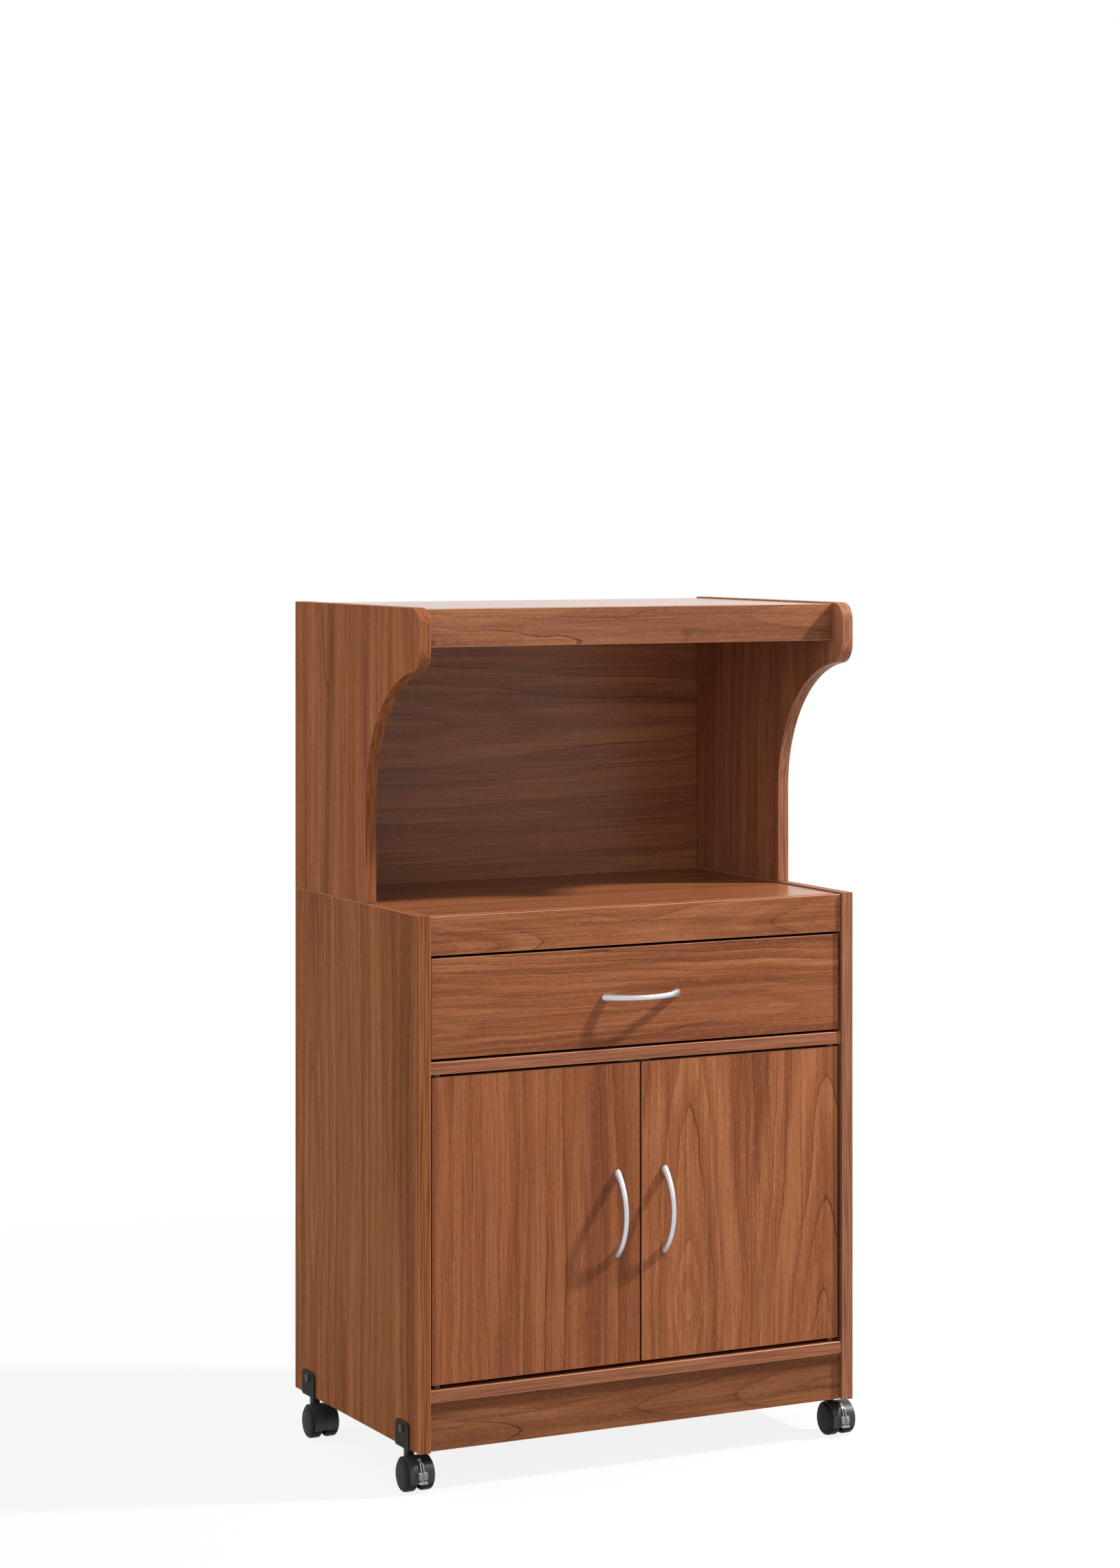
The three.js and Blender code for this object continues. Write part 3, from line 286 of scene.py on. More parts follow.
def back_face(s, colour, place, facing):
    """Bare hardboard behind, with a row of nails up each side."""
    felt = s.noise(s.node("ShaderNodeTexCoord").outputs["Object"], 1400.0, 3.0, 0.7)
    mottle = s.noise(s.node("ShaderNodeTexCoord").outputs["Object"], 22.0, 3.0)
    bare = s.mix(s.step(s.plus(felt, s.times(mottle, 0.5)), 0.5, 1.0), HARDBOARD, HARDBOARD_DARK)
    row, pitch = 0.2915, 0.085
    beside = s.math("SUBTRACT", s.math("ABSOLUTE", place[0]), row)
    up = s.times(s.math("SUBTRACT", s.math("FRACT", s.math("DIVIDE", place[2], pitch)), 0.5), pitch)
    away = s.math("SQRT", s.plus(s.times(beside, beside), s.times(up, up)))
    bare = s.mix(s.step(away, 1.7 * MM, 1.4 * MM), bare, NAIL)
    return s.mix(s.step(facing[1], 0.5, 0.8), colour, bare)


# Grain runs along X on the boards that lie or stand across the cart, and up its sides and doors.
UPRIGHT_SIDE = "YZX"
UPRIGHT_FRONT = "XZY"
LEVEL_FRONT = "ZXY"
LYING = "YXZ"
DRAWER_SIDE = "ZYX"

# Each board has a tint of its own: partly the sheet's own tone, a little darker or redder, and
# partly painted light and shade.
# Painted shade darkens the left door. The greyer tints of the fascia, the hutch back and the right
# sides are a painted reflection, a pale veil over them.
PLAIN = (1.0, 1.0, 1.0)
# a painted reflection: a pale veil greying the shaded right side
GREYED_FOR_PAINTED_REFLECTION = (1.03, 1.18, 1.45)

# node: axes, (heart across and along, slope, depth) of each cut, ring spacing, seed, contrast,
# tint, gloss
BOARDS = {
    "base_side_left": (UPRIGHT_SIDE, [((0.150, 0.30), 0.05, 0.0), ((-0.30, 0.3), 0.04, 0.04)],
                       0.021, 11.3, 0.85, (0.93, 0.95, 0.87), 0.01),
    "base_side_right": (UPRIGHT_SIDE, [((-0.02, 0.42), 0.07, 0.02)],
                        0.018, 31.9, 0.6, GREYED_FOR_PAINTED_REFLECTION, 0.05),
    "hutch_side_left": (UPRIGHT_SIDE, [((0.10, 1.80), 0.05, 0.03)],
                        0.021, 47.2, 0.85, (1.01, 1.01, 0.97), 0.01),
    # painted reflection: greyed, as a pale veil over its shaded inner face
    "hutch_side_right": (UPRIGHT_SIDE, [((-0.05, 0.50), 0.05, 0.03)],
                         0.019, 58.6, 0.6, (1.08, 1.28, 1.55), 0.1),
    # painted shade: tinted darker, as if less light reached the left door
    "door_left": (UPRIGHT_FRONT, [((-0.192, 0.330), 0.04, 0.0), ((-0.47, 0.45), 0.05, 0.02)],
                  0.024, 5.2, 0.85, (0.91, 0.89, 0.90), 0.1),
    "door_right": (UPRIGHT_FRONT, [((0.0655, 0.1925), 0.097, 0.0), ((0.262, 0.09), 0.097, 0.0)],
                   0.0142, 2.4, 1.0, PLAIN, 0.1),
    "drawer_front": (LEVEL_FRONT, [((0.5555, -0.50), 0.06, 0.0), ((0.70, 0.6), 0.05, 0.03)],
                     0.011, 7.7, 1.0, (0.98, 1.0, 1.06), 0.1),
    "worktop_apron": (LEVEL_FRONT, [((0.652, -0.38), 0.10, 0.0), ((0.664, 0.36), 0.12, 0.0)],
                      0.0095, 13.1, 1.0, (0.95, 0.98, 1.05), 0.1),
    # painted sheen: tinted less red, as a pale reflection over it
    "hutch_fascia": (LEVEL_FRONT, [((1.020, -0.46), 0.07, 0.0), ((1.045, 0.45), 0.08, 0.0)],
                     0.0105, 17.9, 0.9, (0.94, 1.05, 1.23), 0.2),
    "kick_panel": (LEVEL_FRONT, [((0.070, 0.40), 0.09, 0.0), ((0.06, -0.50), 0.08, 0.01)],
                   0.011, 23.3, 0.9, (0.83, 0.90, 0.93), 0.1),
    "divider_shelf": (LYING, [((-0.15, 0.1), 0.05, 0.02)], 0.016, 41.7, 0.8, PLAIN, 0.3),
    "worktop": (LYING, [((0.02, 0.20), 0.07, 0.0)], 0.018, 43.3, 0.8, PLAIN, 0.5),
    "base_bottom": (LYING, [((0.05, -0.2), 0.06, 0.01)], 0.018, 61.1, 0.8, PLAIN, 0.3),
    "hutch_top": (LYING, [((0.03, -0.1), 0.06, 0.01)], 0.018, 67.7, 0.8, PLAIN, 0.8),
    "drawer_side_left": (DRAWER_SIDE, [((0.60, 0.0), 0.05, 0.02)], 0.014, 71.3, 0.8, PLAIN, 0.1),
    "drawer_side_right": (DRAWER_SIDE, [((0.60, 0.1), 0.05, 0.02)], 0.014, 73.9, 0.8, PLAIN, 0.1),
    "drawer_back": (LEVEL_FRONT, [((0.60, 0.1), 0.05, 0.02)], 0.014, 79.1, 0.8, PLAIN, 0.1),
    "base_back": (LEVEL_FRONT, [((0.35, 0.1), 0.06, 0.02)], 0.019, 83.3, 0.8, PLAIN, 0.2),
    # painted reflection: greyed, as a pale veil over its shade
    "hutch_back": (LEVEL_FRONT, [((0.90, -0.25), 0.07, 0.01)],
                   0.018, 89.9, 0.8, (1.05, 1.23, 1.3), 0.35),
    "drawer_bottom": (LYING, [((0.0, 0.1), 0.06, 0.02)], 0.018, 97.3, 0.8, PLAIN, 0.2),
}


# ---- metals and plastics ----


def object_place(s, scale):
    source = s.node("ShaderNodeTexCoord").outputs["Object"]
    made = s.node("ShaderNodeVectorMath", operation="SCALE")
    s.put(made.inputs[0], source)
    s.put(made.inputs["Scale"], scale)
    return made.outputs[0]


def satin_metal():
    """Blasted and plated zinc: fine even grain and slight patches of gloss."""
    material, s = new_material("satin_metal")
    place = object_place(s, 1000.0)
    grain = s.noise(place, 1.6, 3.0, 0.6)
    patches = s.noise(place, 0.06, 2.0)
    s.principled(
        base_color=s.mix(patches, srgb(200, 200, 205), srgb(210, 210, 213)),
        metallic=1.0,
        roughness=s.between(grain, 0.34, 0.46),
        normal=s.bump(grain, 0.035, 0.05 * MM),
    )
    return material


def moulded_plastic(name, dark, light, low, high, gloss=0.5, speckle=0.9):
    """Plastic with the faint skin of a mould: two close tones, uneven gloss and a fine texture."""
    material, s = new_material(name)
    place = object_place(s, 1000.0)
    skin = s.noise(place, speckle, 3.0, 0.65)
    clouds = s.noise(place, 0.09, 3.0)
    s.principled(
        base_color=s.mix(s.step(clouds, 0.3, 0.7), dark, light),
        roughness=s.between(skin, low, high),
        specular_ior_level=gloss,
        normal=s.bump(skin, 0.15, 0.06 * MM),
    )
    return material


def coated_steel(name, dark, light, low, high, metallic, gloss=0.5):
    """Powder-coated or plated sheet steel, with a slight orange-peel surface."""
    material, s = new_material(name)
    place = object_place(s, 1000.0)
    peel = s.noise(place, 0.7, 2.0)
    wear = s.noise(place, 0.12, 4.0, 0.7)
    s.principled(
        base_color=s.mix(s.step(wear, 0.35, 0.7), dark, light),
        metallic=metallic,
        roughness=s.between(peel, low, high),
        specular_ior_level=gloss,
        normal=s.bump(peel, 0.15, 0.1 * MM),
    )
    return material


FINISHES = {
    "satin_metal": satin_metal(),
    "black_steel": coated_steel(
        "black_steel", srgb(43, 38, 34), srgb(50, 45, 40), 0.45, 0.58, 0.0, 0.04),
    "screw_steel": coated_steel(
        "screw_steel", srgb(36, 33, 31), srgb(46, 43, 40), 0.25, 0.35, 0.0, 0.35),
    "black_plastic": moulded_plastic(
        "black_plastic", srgb(40, 39, 40), srgb(50, 49, 50), 0.36, 0.5, 0.4),
    "wheel_plastic": moulded_plastic(
        "wheel_plastic", srgb(40, 37, 32), srgb(48, 45, 39), 0.34, 0.46, 0.05),
    "lever_plastic": moulded_plastic(
        "lever_plastic", srgb(150, 148, 149), srgb(166, 164, 164), 0.2, 0.3, 0.8),
    "slide_steel": coated_steel("slide_steel", srgb(72, 50, 38), srgb(84, 60, 46), 0.3, 0.42, 0.0),
    "plain_steel": coated_steel(
        "plain_steel", srgb(170, 170, 174), srgb(190, 190, 192), 0.26, 0.4, 1.0),
    "nylon": moulded_plastic("nylon", srgb(214, 210, 202), srgb(226, 223, 216), 0.36, 0.5),
    "brown_nylon": moulded_plastic("brown_nylon", srgb(58, 38, 28), srgb(66, 44, 32), 0.4, 0.55),
    "catch_plastic": moulded_plastic(
        "catch_plastic", srgb(140, 138, 136), srgb(152, 150, 148), 0.4, 0.52),
}


def paint(thing, material):
    thing.data.materials.clear()
    thing.data.materials.append(material)


LOOKS = {}
for name, node in nodes.items():
    if name in BOARDS:
        behind = name in ("base_back", "hutch_back")
        LOOKS[name] = laminate("laminate_" + name, *BOARDS[name], hardboard=behind)
    elif name.startswith("door_pin"):
        LOOKS[name] = FINISHES["brown_nylon"]
    elif name.startswith("bracket_screw"):
        LOOKS[name] = FINISHES["screw_steel"]
    else:
        LOOKS[name] = FINISHES[SLOT_OF[name]]
    paint(node, LOOKS[name])


# ---- finer pieces that stand for the faceted CAD solids ----
# Each is drawn in millimetres in the row frame.


class Shape:
    """Faces collected for one piece."""

    def __init__(self):
        self.mesh = bmesh.new()

    def points(self, places):
        return [self.mesh.verts.new(Vector(p) * MM) for p in places]

    def face(self, corners):
        return self.mesh.faces.new(corners)

    def prism(self, outline, low, high, place):
        """An outline swept from low to high; place turns its (a, b) and the height into a point."""
        self.rings([[place(a, b, h) for a, b in outline] for h in (low, high)])

    def join(self, first, second):
        """Faces between two closed rows of points. A row of one point is a tip."""
        for k in range(max(len(first), len(second))):
            corners = [row[i % len(row)] for row, i in
                       ((first, k), (first, k + 1), (second, k + 1), (second, k))]
            self.face(list(dict.fromkeys(corners)))

    def rings(self, sections, closed=False):
        """Closed rows joined in turn. The ends are shut, or joined to each other if closed."""
        rows = [self.points(section) for section in sections]
        for first, second in zip(rows, rows[1:]):
            self.join(first, second)
        if closed:
            self.join(rows[-1], rows[0])
            return
        for row in (rows[0], rows[-1]):
            if len(row) > 1:
                self.face(row)

    def lathe(self, profile, place, steps=72, lobes=None, closed=False):
        """A profile of (radius, height) pairs turned about an axis. place turns two coordinates
        across the axis and the height into a point. lobes may give a row's radius by its angle."""
        sections = []
        for index, (radius, height) in enumerate(profile):
            if radius < 1e-6:
                sections.append([place(0.0, 0.0, height)])
                continue
            section = []
            for k in range(steps):
                turn = 2 * math.pi * k / steps
                reach = lobes[index](turn) if lobes and index in lobes else radius
                section.append(place(reach * math.cos(turn), reach * math.sin(turn), height))
            sections.append(section)
        self.rings(sections, closed)

    def finish(self, node, sharp=35.0, bevel=0.0, segments=2):
        """Puts the piece in the scene in place of its CAD node."""
        bmesh.ops.recalc_face_normals(self.mesh, faces=self.mesh.faces)
        data = bpy.data.meshes.new("fine_" + node)
        self.mesh.to_mesh(data)
        self.mesh.free()
        data.shade_smooth()
        piece = bpy.data.objects.new("fine_" + node, data)
        scene.collection.objects.link(piece)
        if bevel:
            round_over = piece.modifiers.new("bevel", "BEVEL")
            round_over.width = bevel * MM
            round_over.segments = segments
            round_over.limit_method = "ANGLE"
            round_over.angle_limit = math.radians(sharp)
            round_over.harden_normals = True
        else:
            data.set_sharp_from_angle(angle=math.radians(sharp))
        paint(piece, LOOKS[node])
        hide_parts(node)
        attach(piece, BODY_OF[node])
        return piece


def arc(centre, radius, start, end, steps):
    """Points on an arc, from one angle to another in degrees."""
    turns = [math.radians(start + (end - start) * i / steps) for i in range(steps + 1)]
    return [(centre[0] + radius * math.cos(t), centre[1] + radius * math.sin(t)) for t in turns]


FRONT = -190.1  # of the side panels
FACE = -184.6  # of the doors and the drawer
PANEL_IN, PANEL_OUT = 285.0, 300.0  # from the middle plane to a side panel's faces
HUTCH_FOOT = 695.2
DRAWER_HANDLE_Z = 582.0
DOOR_HANDLE_X, DOOR_HANDLE_Z = 32.75, 314.35


def hutch_sides():
    depth, height, foot = 400.0, 369.0, 231.5
    nose, top_round, low_round = 76.0, 22.0, 25.0
    sweep = depth - foot
    curve = height - nose - sweep
    rise = math.sqrt(sweep * sweep + 2 * sweep * low_round)
    touch = math.degrees(math.atan2(rise, low_round))
    outline = [(depth, 0.0), (depth, height)]
    outline += arc((top_round, height - top_round), top_round, 90, 180, 20)
    outline += arc((low_round, curve + rise), low_round, 180, 180 + touch, 20)
    outline += arc((0.0, curve), sweep, touch, 0, 56)[1:]
    outline.append((sweep, 0.0))
    for side, sign in SIDES.items():
        low, high = sorted((sign * PANEL_IN, sign * PANEL_OUT))
        shape = Shape()
        shape.prism(outline, low, high, lambda a, b, h: (h, FRONT + a, HUTCH_FOOT + b))
        shape.finish("hutch_side_" + side, sharp=40.0, bevel=0.6, segments=3)


def bow(place):
    """The bow handle's sections, between two rounded feet. place turns (along, out, across) into
    a point. Near the feet the sections tilt until they lie level with the door."""
    half, rise = 49.2, 25.0
    radius = (half * half + rise * rise) / (2 * rise)

    def turn_at(out):
        return math.acos((out + radius - rise) / radius)

    def section(turn, scale=1.0, tilt=1.0):
        share = turn / turn_at(0.0)
        bar = scale * (7.0 + 2.4 * share ** 2 + 2.0 * share ** 6) / 2
        out = (math.sin(turn), math.cos(turn))
        along = (math.cos(turn), -math.sin(turn))
        level = math.pi / 2 - abs(turn)
        lean = math.tan(tilt * level) * (1 if turn > 0 else -1)
        middle = (radius * out[0], radius * out[1] - radius + rise)
        points = []
        for k in range(36):
            angle = 2 * math.pi * k / 36
            off, shift = bar * math.cos(angle), bar * math.cos(angle) * lean
            points.append(place(middle[0] + out[0] * off + along[0] * shift,
                                middle[1] + out[1] * off + along[1] * shift,
                                bar * math.sin(angle)))
        return points

    foot = [(0.2, 0.72), (0.4, 0.83), (0.9, 0.92), (1.7, 0.98), (2.8, 1.0)]
    reach = turn_at(2.8)
    steps = 64
    sections = [section(-turn_at(out), scale) for out, scale in foot]
    for i in range(1, steps):
        turn = reach * (2 * i / steps - 1)
        near = max(0.0, 1.0 - (reach - abs(turn)) * radius / 16.0)
        sections.append(section(turn, 1.0, near * near * (3 - 2 * near)))
    sections += [section(turn_at(out), scale) for out, scale in reversed(foot)]
    return sections


def handles():
    shape = Shape()
    shape.rings(bow(lambda a, b, c: (a, FACE - b, DRAWER_HANDLE_Z + c)))
    shape.finish("drawer_handle", sharp=50.0)
    for side, sign in SIDES.items():
        shape = Shape()
        shape.rings(bow(lambda a, b, c: (sign * DOOR_HANDLE_X + c, FACE - b, DOOR_HANDLE_Z + a)))
        shape.finish("door_handle_" + side, sharp=50.0)


def turned(node, axis, profile, closed=False):
    """A turned piece on the axis of its CAD node's box. Heights run from the box's low end."""
    low, high = (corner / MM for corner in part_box(node))
    middle = (low + high) / 2
    if axis == "X":
        def place(a, b, h):
            return (low.x + h, middle.y + a, middle.z + b)
    else:
        def place(a, b, h):
            return (middle.x + a, middle.y + b, low.z + h)
    shape = Shape()
    shape.lathe(profile, place, 64, closed=closed)
    shape.finish(node, sharp=30.0)


def rollers_and_pins():
    for side in SIDES:
        for end in ("front", "rear"):
            turned("slide_roller_%s_%s" % (end, side), "X", [
                (2.15, 0.0), (2.15, 6.0), (7.2, 6.0), (7.7, 5.8), (7.95, 5.3), (7.95, 3.4),
                (7.6, 3.2), (7.6, 2.8), (7.95, 2.6), (7.95, 0.7), (7.7, 0.2), (7.2, 0.0),
            ], closed=True)
        turned("door_pin_top_" + side, "Z", [
            (0.0, 0.0), (2.95, 0.0), (2.95, 20.2), (5.4, 20.2), (5.4, 23.3), (2.95, 23.3),
            (2.95, 31.2), (2.65, 31.5), (0.0, 31.5)])
        turned("door_pin_bottom_" + side, "Z", [
            (0.0, 0.0), (2.65, 0.0), (2.95, 0.3), (2.95, 8.2), (5.4, 8.2), (5.4, 12.8),
            (2.95, 12.8), (2.95, 33.0), (0.0, 33.0)])


# ---- casters ----

STEM_X = 292.5
STEMS = {"front": -141.1, "rear": 160.9}
AXLE_BACK = 19.0  # of the stem behind the axle
AXLE_Z = 20.29
TREAD = 20.28
HOOD_IN, HOOD_OUT, HOOD_HALF = 21.0, 22.2, 15.5
HOOD_FRONT, HOOD_BACK = -22.0, 190.0  # degrees, as for polar()
SLOT_LOW, SLOT_HIGH = 49.0, 70.0
BOSS_RADIUS, BOSS_SHOULDER, BOSS_TOP = 6.5, 46.4, 46.8
BOSS_FOOT = 21.5  # the radius of the foot's curve about the axle
WEB_RIM = 21.6
LEVER_PIN = 14.5  # from the axle, 58 degrees up
SCREW_Z = 72.0


def polar(radius, degrees):
    """A point in (Y, Z) about the axle. The angle is above the axle, as seen in front of it."""
    turn = math.radians(degrees)
    return (-radius * math.cos(turn), radius * math.sin(turn))


def wheel(node, x, way, y):
    """A wheel whose outer face looks along way, with a moulded ring sunk in the face."""
    def place(a, b, h):
        return (x + way * h, y + a, AXLE_Z + b)

    profile = [(0.0, 12.15), (2.65, 12.15), (2.65, 0.0), (5.0, 0.0), (5.0, 8.0), (TREAD - 3.0, 8.0)]
    profile += [(TREAD - 3.0 + r, 3.0 + h) for r, h in arc((0, 0), 3.0, -90, 0, 10)]
    profile += [(TREAD - 4.0 + r, 11.0 + h) for r, h in arc((0, 0), 4.0, 0, 82, 12)]
    profile += [(16.25, 15.0), (16.05, 14.65), (15.55, 14.62), (15.3, 15.05), (14.6, 15.2)]
    profile += [(11.0, 15.42), (7.0, 15.6), (5.2, 15.66), (0.0, 15.7)]
    shape = Shape()
    shape.lathe(profile, place, 96)
    shape.finish(node, sharp=38.0)


def hood(shape, x, y, slot):
    """The hood over both wheels: a curved sheet with a slot for the lever's arm."""
    columns = [-HOOD_HALF, -2.5, 2.5, HOOD_HALF]
    before, beside, behind = 24, 7, 40  # steps in front of the slot, along it and behind it
    angles = [HOOD_FRONT + (SLOT_LOW - HOOD_FRONT) * i / before for i in range(before + 1)]
    angles += [SLOT_LOW + (SLOT_HIGH - SLOT_LOW) * i / beside for i in range(1, beside + 1)]
    angles += [SLOT_HIGH + (HOOD_BACK - SLOT_HIGH) * i / behind for i in range(1, behind + 1)]

    def spot(radius, angle, column):
        back, up = polar(radius, angle)
        return (x + column, y + back, AXLE_Z + up)

    grid = {}
    for layer, radius in (("in", HOOD_IN), ("out", HOOD_OUT)):
        for i, angle in enumerate(angles):
            for j, column in enumerate(columns):
                grid[layer, i, j] = shape.points([spot(radius, angle, column)])[0]

    def present(i, j):
        inside = 0 <= i < len(angles) - 1 and 0 <= j < 3
        return inside and not (slot and j == 1 and before <= i < before + beside)

    for i in range(len(angles) - 1):
        for j in range(3):
            if not present(i, j):
                continue
            for layer in ("in", "out"):
                shape.face([grid[layer, i, j], grid[layer, i + 1, j],
                            grid[layer, i + 1, j + 1], grid[layer, i, j + 1]])
            sides = (((i, j), (i + 1, j), (i, j - 1)), ((i, j + 1), (i + 1, j + 1), (i, j + 1)),
                     ((i, j), (i, j + 1), (i - 1, j)), ((i + 1, j), (i + 1, j + 1), (i + 1, j)))
            for first, second, beyond in sides:
                if not present(*beyond):
                    shape.face([grid[("in",) + first], grid[("in",) + second],
                                grid[("out",) + second], grid[("out",) + first]])
    for layer, i, j in list(grid):
        if not grid[layer, i, j].link_faces:
            shape.mesh.verts.remove(grid[layer, i, j])


def boss(shape, x, y):
    """The upright boss that the stem turns in. Its foot follows the hood's curve."""
    rim = [(math.cos(2 * math.pi * k / 56), math.sin(2 * math.pi * k / 56)) for k in range(56)]
    foot, shoulder, top = [], [], []
    for a, b in rim:
        back = AXLE_BACK + BOSS_RADIUS * b
        rise = max(6.5, math.sqrt(max(0.0, BOSS_FOOT ** 2 - back ** 2)))
        foot.append((x + BOSS_RADIUS * a, y + back, AXLE_Z + rise))
        shoulder.append((x + BOSS_RADIUS * a, y + back, BOSS_SHOULDER))
        top.append((x + 6.1 * a, y + AXLE_BACK + 6.1 * b, BOSS_TOP))
    middle = [(x, y + AXLE_BACK, AXLE_Z + math.sqrt(BOSS_FOOT ** 2 - AXLE_BACK ** 2))]
    shape.rings([middle, foot, shoulder, top])


def housing(node, x, y, braked):
    """The hood over both wheels, a web between them with the axle, and the boss."""
    def rim(low, high, steps):
        return [polar(WEB_RIM, low + (high - low) * i / steps) for i in range(steps + 1)]

    if braked:
        notch, notch_end = 41.0, 75.0  # the web is cut down to the lever's pin
        outline = rim(HOOD_FRONT, notch, 18)
        outline += [polar(LEVER_PIN, notch + (notch_end - notch) * i / 8) for i in range(9)]
        outline += rim(notch_end, HOOD_BACK, 34)
    else:
        outline = rim(HOOD_FRONT, HOOD_BACK, 60)
    outline += arc((0.0, 0.0), 11.0 if braked else 8.0, -55, -125, 14)
    shape = Shape()
    hood(shape, x, y, braked)
    boss(shape, x, y)
    shape.prism(outline, x - 3.0, x + 3.0, lambda a, b, h: (h, y + a, AXLE_Z + b))
    shape.lathe([(0.0, -HOOD_HALF), (2.5, -HOOD_HALF), (2.5, HOOD_HALF), (0.0, HOOD_HALF)],
                lambda a, b, h: (x + h, y + a, AXLE_Z + b), 32)
    shape.finish(node, sharp=40.0, bevel=0.35)


def lever(node, x, y):
    """The brake lever: a thin spine, two rails down the hood's front, two columns of ribs, and a
    lip under them."""
    shape = Shape()

    def band(inner, outer, low, high, left, right, steps=10):
        angles = [low + (high - low) * i / steps for i in range(steps + 1)]
        outline = [polar(outer, t) for t in angles] + [polar(inner, t) for t in reversed(angles)]
        shape.prism(outline, x + left, x + right, lambda a, b, h: (h, y + a, AXLE_Z + b))

    band(22.8, 23.5, 40, 62, -1.3, 1.3, 12)
    band(22.8, 24.0, 40, 44, -2.0, 2.0, 3)
    band(22.8, 23.1, -15, 13, -2.2, 2.2, 14)
    band(22.8, 27.2, -17, -12.4, -5.5, 5.5, 4)
    for way in (-1, 1):
        left, right = sorted((way * 1.1, way * 2.2))
        band(22.8, 24.2, 13, 42, left, right, 16)
        left, right = sorted((way * 0.9, way * 5.5))
        band(22.8, 24.2, 11.5, 15, left, right, 3)
        band(22.9, 23.6, -7, 12, left, right, 12)
        for k in range(6):
            band(23.1, 25.4, 3.3 * k - 6.5, 3.3 * k - 5.0, left, right, 2)
    band(LEVER_PIN, 23.4, 54, 62, -2.0, 2.0, 3)
    pivot = polar(LEVER_PIN, 58)
    shape.lathe([(0.0, -2.85), (2.5, -2.85), (2.5, 2.85), (0.0, 2.85)],
                lambda a, b, h: (x + h, y + pivot[0] + a, AXLE_Z + pivot[1] + b), 28)
    shape.finish(node, sharp=40.0, bevel=0.22)


def bracket(node, sign, y):
    """A strap bent round the side panel's lower edge, with the swivel stem under it."""
    x = sign * STEM_X
    rows = []
    for half, height in arc((13.0, 74.0), 7.0, 90, 0, 10):
        rows.append(((9.7, height), (7.7, height), half))
    for way, start, end in ((1, 0, -90), (-1, 270, 180)):
        skin = arc((way * 6.7, 50.8), 3.0, start, end, 8)
        core = arc((way * 7.3, 50.2), 0.4, start, end, 8)
        rows += [(outer, inner, 20.0) for outer, inner in zip(skin, core)]
    for half, height in arc((17.0, 57.0), 3.0, 0, 90, 6):
        rows.append(((-9.7, height), (-7.7, height), half))
    sections = []
    for (a, b), (c, d), half in rows:
        sections.append([(x + sign * a, y - half, b), (x + sign * a, y + half, b),
                         (x + sign * c, y + half, d), (x + sign * c, y - half, d)])
    shape = Shape()
    shape.rings(sections)
    shape.lathe([(0.0, 30.8), (3.6, 30.8), (4.0, 31.2), (4.0, 47.2), (6.0, 47.2), (6.0, 47.9),
                 (0.0, 47.9)], lambda a, b, h: (x + a, y + b, h), 48)
    shape.finish(node, sharp=40.0, bevel=0.25)


def screw(node, sign, y):
    """A pan head with a cross recess, on a plain shank."""
    x = sign * (PANEL_OUT + 2.4)

    def star(wide, narrow):
        return lambda turn: narrow + (wide - narrow) * abs(math.cos(2 * turn)) ** 3

    profile = [(0.0, -14.2), (2.0, -13.2), (2.0, 0.0), (5.2, 0.0), (5.2, 0.9), (4.95, 1.5),
               (4.3, 2.1), (3.3, 2.45), (2.4, 2.58), (1.9, 2.6), (1.4, 1.5), (0.0, 1.4)]
    shape = Shape()
    shape.lathe(profile, lambda a, b, h: (x + sign * h, y + a, SCREW_Z + b), 64,
                {9: star(2.1, 0.75), 10: star(1.5, 0.55)})
    shape.finish(node, sharp=40.0)


def casters():
    for end, stem_y in STEMS.items():
        for side, sign in SIDES.items():
            name = "%s_%s" % (end, side)
            x, y = sign * STEM_X, stem_y - AXLE_BACK
            wheel("caster_wheel_right_" + name, x + 3.5, 1, y)
            wheel("caster_wheel_left_" + name, x - 3.5, -1, y)
            housing("caster_housing_" + name, x, y, end == "front")
            if end == "front":
                lever("brake_lever_" + name, x, y)
            bracket("caster_bracket_" + name, sign, stem_y)
            screw("bracket_screw_" + name, sign, stem_y)


hutch_sides()
handles()
rollers_and_pins()
casters()


# ---- floor, light and camera ----


def seen_directly(s):
    """1 for rays from the camera or off something glossy or clear, which see a white studio."""
    path = s.node("ShaderNodeLightPath").outputs
    return s.math("MAXIMUM", s.math("MAXIMUM", path["Is Camera Ray"], path["Is Glossy Ray"]),
                  path["Is Transmission Ray"])


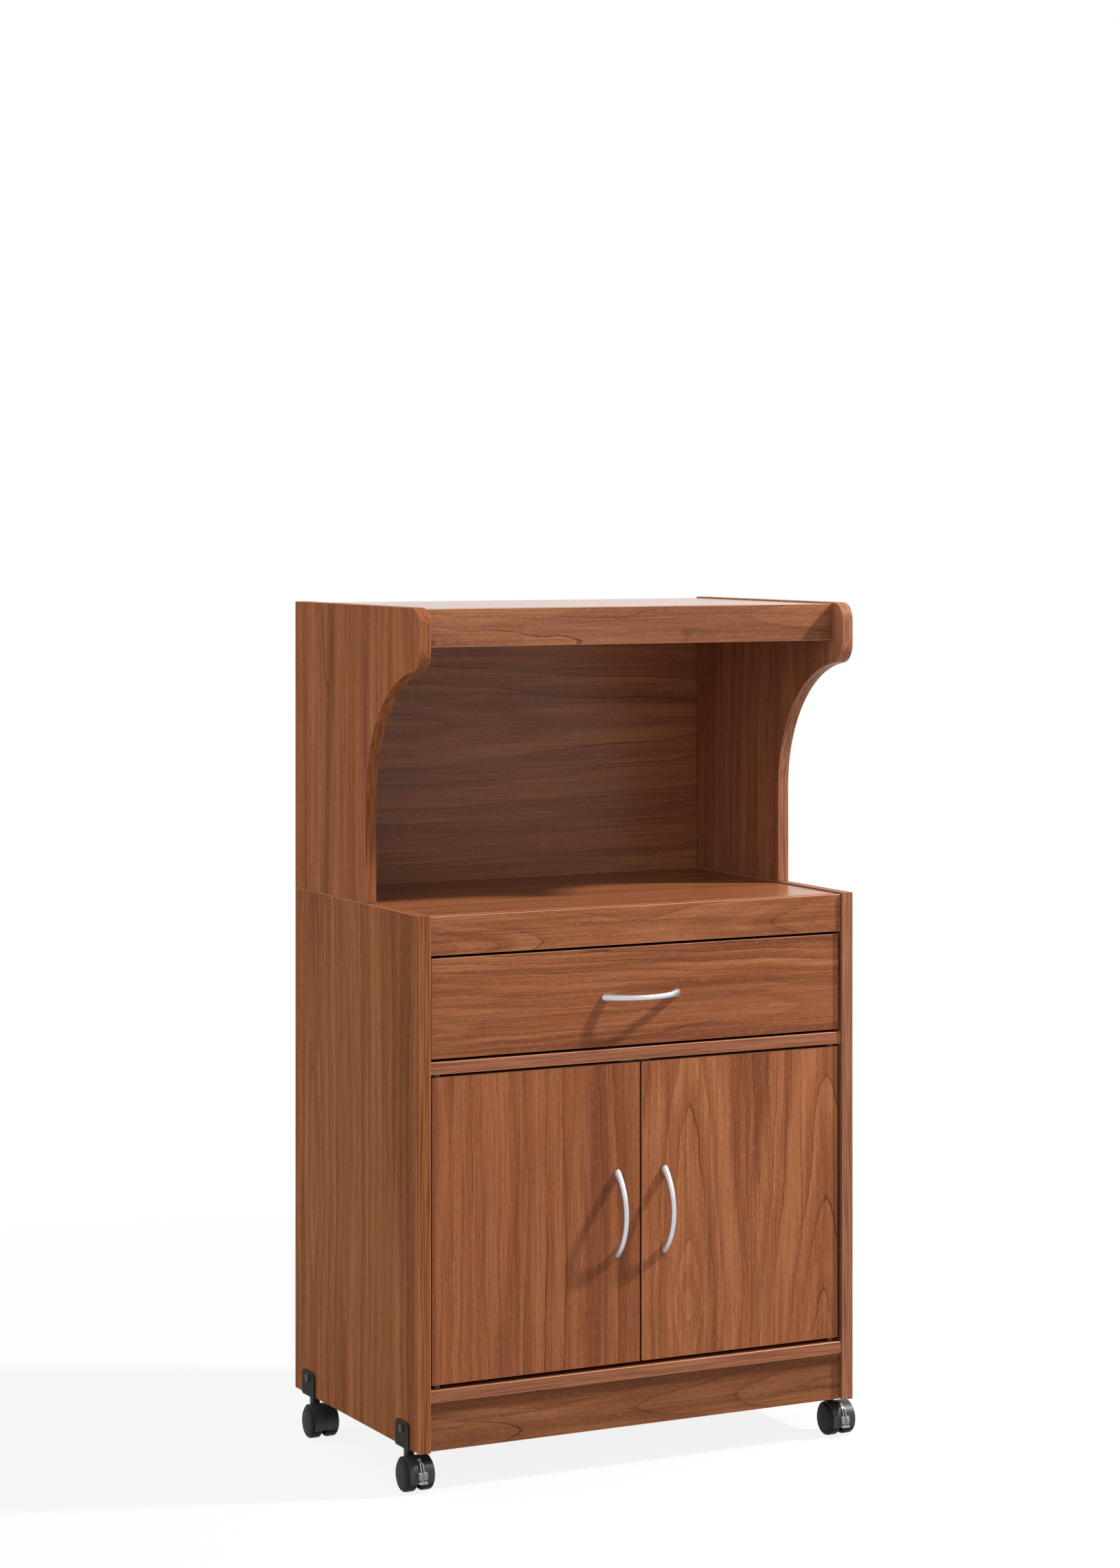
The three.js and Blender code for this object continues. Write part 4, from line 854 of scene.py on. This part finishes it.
def studio_floor():
    reach = 14.0
    near, far = 1.2, 3.2  # where the floor's own glow starts to rise, and where it is pure white
    glow_near = 0.87
    mesh = bpy.data.meshes.new("floor")
    shape = bmesh.new()
    bmesh.ops.create_circle(shape, cap_ends=True, segments=96, radius=reach)
    shape.to_mesh(mesh)
    shape.free()
    floor = bpy.data.objects.new("floor", mesh)
    scene.collection.objects.link(floor)
    material, s = new_material("floor")
    seen = seen_directly(s)
    grain = s.noise(object_place(s, 40.0), 1.0, 3.0)
    matt = s.mix(grain, (0.43, 0.43, 0.43, 1.0), (0.44, 0.44, 0.44, 1.0))
    matt = s.mix(seen, matt, (0.1, 0.1, 0.1, 1.0))
    diffuse = s.node("ShaderNodeBsdfDiffuse", {"Color": matt}).outputs[0]
    # plain white well away from the cart, so that no horizon shows, and a little under it near by,
    # where the shadow falls
    place = object_place(s, 1.0)
    away = s.node("ShaderNodeVectorMath", {0: place}, operation="LENGTH").outputs["Value"]
    white = s.plus(glow_near, s.times(s.step(away, near, far), 1.0 - glow_near))
    glow = s.node("ShaderNodeEmission", {
        "Color": (1.0, 1.0, 1.0, 1.0), "Strength": s.times(seen, white)}).outputs[0]
    both = s.node("ShaderNodeAddShader")
    s.put(both.inputs[0], diffuse)
    s.put(both.inputs[1], glow)
    s.surface(both.outputs[0])
    paint(floor, material)


def studio_world():
    world = bpy.data.worlds.new("studio")
    scene.world = world
    s = Shading(world)
    way = s.split(s.node("ShaderNodeTexCoord").outputs["Generated"])
    level, fall = 0.62, -0.60  # the soft light comes from the left, away from the lamp
    strength = s.plus(s.times(way[0], fall), level)
    soft = s.node("ShaderNodeBackground", {"Color": (1.0, 1.0, 1.0, 1.0), "Strength": strength})
    white = s.node("ShaderNodeBackground", {"Color": (1.0, 1.0, 1.0, 1.0), "Strength": 1.0})
    made = s.node("ShaderNodeMixShader")
    s.put(made.inputs[0], seen_directly(s))
    s.put(made.inputs[1], soft.outputs[0])
    s.put(made.inputs[2], white.outputs[0])
    s.node("ShaderNodeOutputWorld", {"Surface": made.outputs[0]})


def key_light():
    """One soft lamp high on the right, in front, aimed at the doors."""
    distance = 4.0
    aim = Vector((0.0, -0.19, 0.31))
    toward = Vector((62.0, -25.0, 66.0)).normalized()
    light = bpy.data.lights.new("key", "AREA")
    light.shape = "DISK"
    light.size = 0.28
    light.energy = 200.0
    lamp = bpy.data.objects.new("key", light)
    scene.collection.objects.link(lamp)
    lamp.rotation_euler = toward.to_track_quat("Z", "Y").to_euler()
    lamp.location = aim + toward * distance


def photo_camera():
    """The photograph's viewpoint, worked out from the cart's straight edges in it."""
    width, height = 1624.0, 2273.0
    focal, middle = 5458.5, (1102.3, 744.2)
    data = bpy.data.cameras.new("camera")
    camera = bpy.data.objects.new("camera", data)
    scene.collection.objects.link(camera)
    camera.location = (-2.1089, -4.3410, 1.1777)
    camera.rotation_euler = (math.pi / 2, 0.0, math.radians(-28.718))
    data.sensor_width = 36.0
    data.lens = data.sensor_width * focal / height
    data.shift_x = (width / 2 - middle[0]) / height
    data.shift_y = (middle[1] - height / 2) / height
    data.clip_end = 60.0
    scene.camera = camera


studio_floor()
studio_world()
key_light()
photo_camera()
scene.view_settings.view_transform = "Standard"
